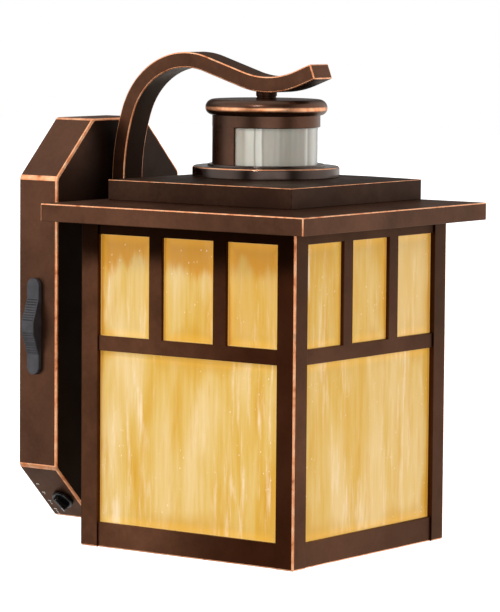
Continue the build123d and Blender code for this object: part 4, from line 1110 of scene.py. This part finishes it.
def stud_pair(material):
    """Two studs, each with the ridges of its thread."""
    low, high = node_box("mounting_studs")
    length = high.y - low.y
    radius, root, pitch, start = 2.05, 1.8, 0.8, 0.3
    ridges = int((length - 2 * start) / pitch)
    profile = [(0, 0.0), (root, 0.0), (root, 0.2)]
    for ridge in range(ridges):
        base = start + ridge * pitch
        profile += [(root, base), (radius, base + pitch / 2)]
    profile += [(root, start + ridges * pitch), (root, length), (0, length)]
    bm = bmesh.new()
    for z in (low.z + radius, high.z - radius):
        spin(bm, profile, facing(0, high.y, z), steps=24)
    piece("stud_pair", bm, [material], ["mounting_studs"], "zinc_steel", sharp=20)


def acorn_nuts(material):
    """Two domed nuts: a chamfered hexagon, a groove, and a dome."""
    low, high = node_box("cap_nuts")
    across, dome_r = 4.75, 4.28
    corner = across / cos(pi / 6)
    hexagon = [(corner * cos(pi / 3 * i), corner * sin(pi / 3 * i)) for i in range(6)]
    levels = ((0.9, 0.0), (1.0, 0.5), (1.0, 2.9), (0.88, 3.5))
    dome = [(0, 3.3), (3.6, 3.3), (3.6, 3.7)] + arc((0, 3.6), dome_r, 8, 90, 10)
    bm = bmesh.new()
    for side in (-1, 1):
        place = facing(0, high.y, side * ((high.z - low.z) / 2 - across))
        loft(bm, [[(x * scale, y * scale, z) for x, y in hexagon] for scale, z in levels], place)
        spin(bm, dome, place, steps=40)
    piece("acorn_nuts", bm, [material], ["cap_nuts"], "bronze", sharp=25)


def porcelain_holder(material):
    """The lampholder: a glazed ceramic cup with a rolled mouth and a shallow waist."""
    low, high, radius = round_box("lampholder")
    socket, roof, waist = 14.3, low + 30, radius - 0.9
    brow, lip, mouth = 2.0, 1.6, 1.2
    profile = [(0, high), (radius - 2.5, high)]
    profile += arc((radius - brow, high - brow), brow, 90, 0, 6)
    profile += [(radius, high - 10), (waist, high - 12), (waist, low + 9)]
    profile += [(radius, low + 7)] + arc((radius - lip, low + lip), lip, 0, -90, 6)
    profile += arc((socket + mouth, low + mouth), mouth, 270, 180, 4)
    profile += [(socket, roof), (0, roof)]
    lathed("porcelain_holder", profile, [material], ["lampholder"], "porcelain", closed=False,
           steps=96, sharp=35)


def rolled(low, high, radius, relief, turns, points):
    """The smooth waves of a rolled thread, as points of a profile."""
    return [(radius + relief * cos(2 * pi * turns * i / points), low + (high - low) * i / points)
            for i in range(points + 1)]


def socket_shell(material):
    """The thin screw shell inside the lampholder, with its rolled thread."""
    low, high, outer = round_box("screw_shell")
    thread = rolled(low, high, outer - 0.42, -0.24, turns=6, points=48)
    lathed("socket_shell", [(outer, low)] + thread + [(outer, high)], [material],
           ["screw_shell"], "socket_metal", steps=72)


def bulb_cap(material, insulator):
    """The bulb's screw cap: a rolled thread, a glass insulator and a solder tip."""
    low, high, radius = round_box("bulb_base")
    shoulder = high - 2.6
    thread_low, thread_high = low + 2.0, shoulder - 1.5
    glass = [(radius - 3.5, shoulder), (5.0, high - 1.3), (4.2, high - 1.0)]
    profile = [(0, low), (radius - 0.1, low), (radius, low + 0.3), (radius, thread_low - 0.4)]
    profile += rolled(thread_low, thread_high, radius - 0.45, 0.4, turns=6, points=60)
    profile += [(radius - 0.9, shoulder - 0.8), glass[0]]
    bm = bmesh.new()
    spin(bm, profile, steps=72)
    before = set(bm.faces)
    spin(bm, glass, steps=72)
    for face in set(bm.faces) - before:
        face.material_index = 1
    spin(bm, [glass[-1], (4.0, high - 0.4), (2.6, high), (0, high)], steps=72)
    piece("bulb_cap", bm, [material, insulator], ["bulb_base"], "bulb_cap_metal", body="bulb")


def bulb_envelope(material):
    """The frosted bulb: a round bowl that draws in to its neck on two opposite arcs."""
    low, high, bowl = round_box("bulb_glass")
    centre = low + bowl
    shoulder_r, neck_r, turn, rim = 38.0, 40.0, 38.0, 0.9
    reach, start = shoulder_r + neck_r, bowl - shoulder_r
    neck = (start + reach * cos(radians(turn)), centre + reach * sin(radians(turn)))
    profile = arc((0, centre), bowl, -90, 0, 20)
    profile += arc((start, centre), shoulder_r, 0, turn, 12)[1:]
    profile += arc(neck, neck_r, 180 + turn, 180, 12)[1:]
    mouth = profile[-1][0]
    profile += [(mouth, high), (mouth - rim, high)]
    lathed("bulb_envelope", profile, [material], ["bulb_glass"], "bulb_glass", closed=False,
           steps=96, body="bulb", sharp=60)


# ---- studio ----

# The camera stands out to the left, a little above the lantern, and looks slightly down.
CAMERA_PLACE = (-1.80561, -1.46321, 0.21993)
CAMERA_AZIMUTH, CAMERA_DESCENT, CAMERA_ROLL = -53.696, 5.259, 0.436
CAMERA_LENS_MM = 208.87
SENSOR_MM = 36.0

# Each soft patch of studio light: where it lies, the cosines at which it starts and is
# full, and its strength. Between the patches the room is dim, as a real studio is.
ROOM_STRENGTH = 0.16
PATCHES = (
    ((-0.80, 0.59, 0.15), 0.74, 0.96, 1.48),
    ((0.80, -0.59, 0.05), 0.4, 0.95, 1.25),
    ((-0.74, -0.66, 0.12), 0.8, 0.98, 2.0),
    ((-0.12, 0.4, 0.9), 0.55, 0.95, 1.1),
    ((0.4, 0.35, -0.85), 0.3, 0.9, 0.7),
)
KEY_OFFSET = 2.2 * Vector((-0.62, -0.15, 0.77))
KEY_SIZE = 0.3
KEY_WATTS = 12.2
FLOOR_DROP = 1.8
FLOOR_REACH = 40.0


def in_scene(name, data, place):
    """A new object of the studio at a place, given as a matrix."""
    obj = bpy.data.objects.new(name, data)
    obj.matrix_world = place
    bpy.context.scene.collection.objects.link(obj)
    return obj


def set_camera():
    data = bpy.data.cameras.new("camera")
    data.sensor_width = SENSOR_MM
    data.lens = CAMERA_LENS_MM
    data.clip_start = 0.05
    data.clip_end = 200.0
    turn = rotation(CAMERA_AZIMUTH, "Z") @ rotation(90 - CAMERA_DESCENT, "X")
    turn = turn @ rotation(CAMERA_ROLL, "Z")
    camera = in_scene("camera", data, Matrix.Translation(CAMERA_PLACE) @ turn)
    bpy.context.scene.camera = camera


def set_key_light():
    data = bpy.data.lights.new("key", "AREA")
    data.size = KEY_SIZE
    data.energy = KEY_WATTS
    aim = KEY_OFFSET.to_track_quat("Z", "Y").to_matrix().to_4x4()
    in_scene("key", data, Matrix.Translation(Vector((0.0, BODY_Y * MM, 0.0)) + KEY_OFFSET) @ aim)


def set_room():
    """Soft patches of light round the lantern; the camera itself sees plain white."""
    world = bpy.data.worlds.new("studio")
    world.use_nodes = True
    room = Graph(world.node_tree)
    direction = room.add("TexCoord", "Generated", {})
    light = ROOM_STRENGTH
    for toward, start, full, strength in PATCHES:
        sources = {0: direction, 1: Vector(toward).normalized()}
        nearness = room.add("VectorMath", "Value", sources, operation="DOT_PRODUCT")
        light = nearness.step(start, full, 0.0, strength) + light
    light = room.math("MAXIMUM", room.add("LightPath", "Is Camera Ray", {}), light)
    background = room.nodes["Background"]
    background.inputs["Color"].default_value = (1.0, 1.0, 1.0, 1.0)
    room.links.new(light.socket, background.inputs["Strength"])
    bpy.context.scene.world = world


def set_floor():
    bm = bmesh.new()
    bmesh.ops.create_grid(bm, x_segments=2, y_segments=2, size=FLOOR_REACH)
    mesh = bpy.data.meshes.new("floor")
    bm.to_mesh(mesh)
    bm.free()
    mesh.materials.append(pale_floor())
    place = Matrix.Translation((0.0, 0.0, CAD_BOUNDS[0][2] - FLOOR_DROP))
    floor = in_scene("floor", mesh, place)
    floor.visible_diffuse = False
    floor.visible_glossy = False


# ---- the lantern ----

def build_lantern(paint):
    # The head bronze and the underside bronze are darker copies of the bronze that carry painted
    # shade.
    head_shade_paint = bronze("head_shade_bronze", HEAD_SHADE_TONES)
    cage_paint = cage_bronze()
    underside_shade_paint = bronze("painted_shade_bronze", PAINTED_SHADE_TONES, metal=1.0)
    copper = copper_edge()
    wall_box_shell(box_bronze(), copper)
    for quarter, name in enumerate(CORNERS):
        corner_post(name, quarter, cage_paint, copper)
    for quarter, name in enumerate(SIDES):
        side_frame(name, quarter, cage_paint, copper)
        glass_sheet(name, quarter, art_glass(name, quarter + 1))
    folded_ring("glass_ledge", "bottom_rim", [paint, copper], hole=64.0, stands=True)
    folded_ring("head_ring", "top_frame", [paint], hole=60.0, stands=False)
    roof_pan(paint, copper)
    roof_step(head_shade_paint, copper)
    soffit_sheet(paint)
    swan_arm(paint, copper, underside_shade_paint)
    sensor_flange()
    sensor_drum(bronze("drum_bronze", gloss=0.25, lacquer=0.08))
    sensor_window(milky_lens())
    sensor_crown()
    neck_sleeve(head_shade_paint)


def build_details(paint):
    pale = moulded("legend_paint", (176, 172, 166), (226, 222, 216), 0.5)
    black = moulded("knob_plastic", (8, 8, 9), (24, 23, 24), 0.12, relief=0.05)
    zinc = plated("zinc_plate", (150, 150, 146), (204, 204, 198), 0.28)
    drawn = plated("drawn_metal", (176, 172, 164), (222, 218, 208), 0.22)
    thumb_slider(moulded("slider_plastic", (38, 36, 39), (54, 51, 55), 0.42))
    finger_knob(black, pale)
    raised_marks(pale)
    stud_pair(zinc)
    acorn_nuts(paint)
    porcelain_holder(glazed("porcelain", (226, 223, 214), (244, 242, 236), 0.12))
    socket_shell(drawn)
    bulb_cap(drawn, glazed("cap_insulator", (20, 20, 24), (44, 42, 46), 0.1))
    bulb_envelope(frosted_bulb())

    # The CAD nodes that keep their own shapes.
    moulding = moulded("component_plastic", (16, 16, 18), (34, 34, 37), 0.4)
    terminals = moulded("terminal_plastic", (28, 92, 48), (48, 122, 68), 0.4)
    leads = moulded("lead_insulation", (206, 200, 184), (232, 228, 214), 0.35)
    cans = plated("detector_can", (190, 186, 172), (226, 222, 208), 0.15)
    green = plated("green_screw", (22, 84, 38), (46, 122, 62), 0.35)
    sleeve = glazed("capacitor_sleeve", (14, 18, 52), (30, 38, 86), 0.2)
    photocell = glazed("photocell_coat", (120, 58, 30), (168, 92, 52), 0.12)
    for material, nodes in (
            (zinc, "mounting_strap board_screws arm_screws arm_backing_plate centre_nipple "
                   "roof_screws clamp_washer nipple_nut lampholder_bracket lampholder_screws "
                   "glass_retainers"),
            (green, "ground_screw"), (drawn, "centre_contact"), (cans, "pyro_detectors"),
            (foam(), "wall_gasket arm_gasket sensor_gasket"),
            (circuit_board(), "control_board sensor_board"),
            (moulding, "relay slide_switch rotary_switch detector_holder"),
            (sleeve, "capacitor"), (terminals, "terminal_block"), (photocell, "photocell"),
            (leads, "arm_leads")):
        for node in nodes.split():
            materials = frame["nodes"][node].data.materials
            materials.clear()
            materials.append(material)


set_camera()
set_room()
set_key_light()
set_floor()
bpy.context.scene.view_settings.view_transform = "Standard"
oil_rubbed = bronze("oil_rubbed_bronze")
build_lantern(oil_rubbed)
build_details(oil_rubbed)
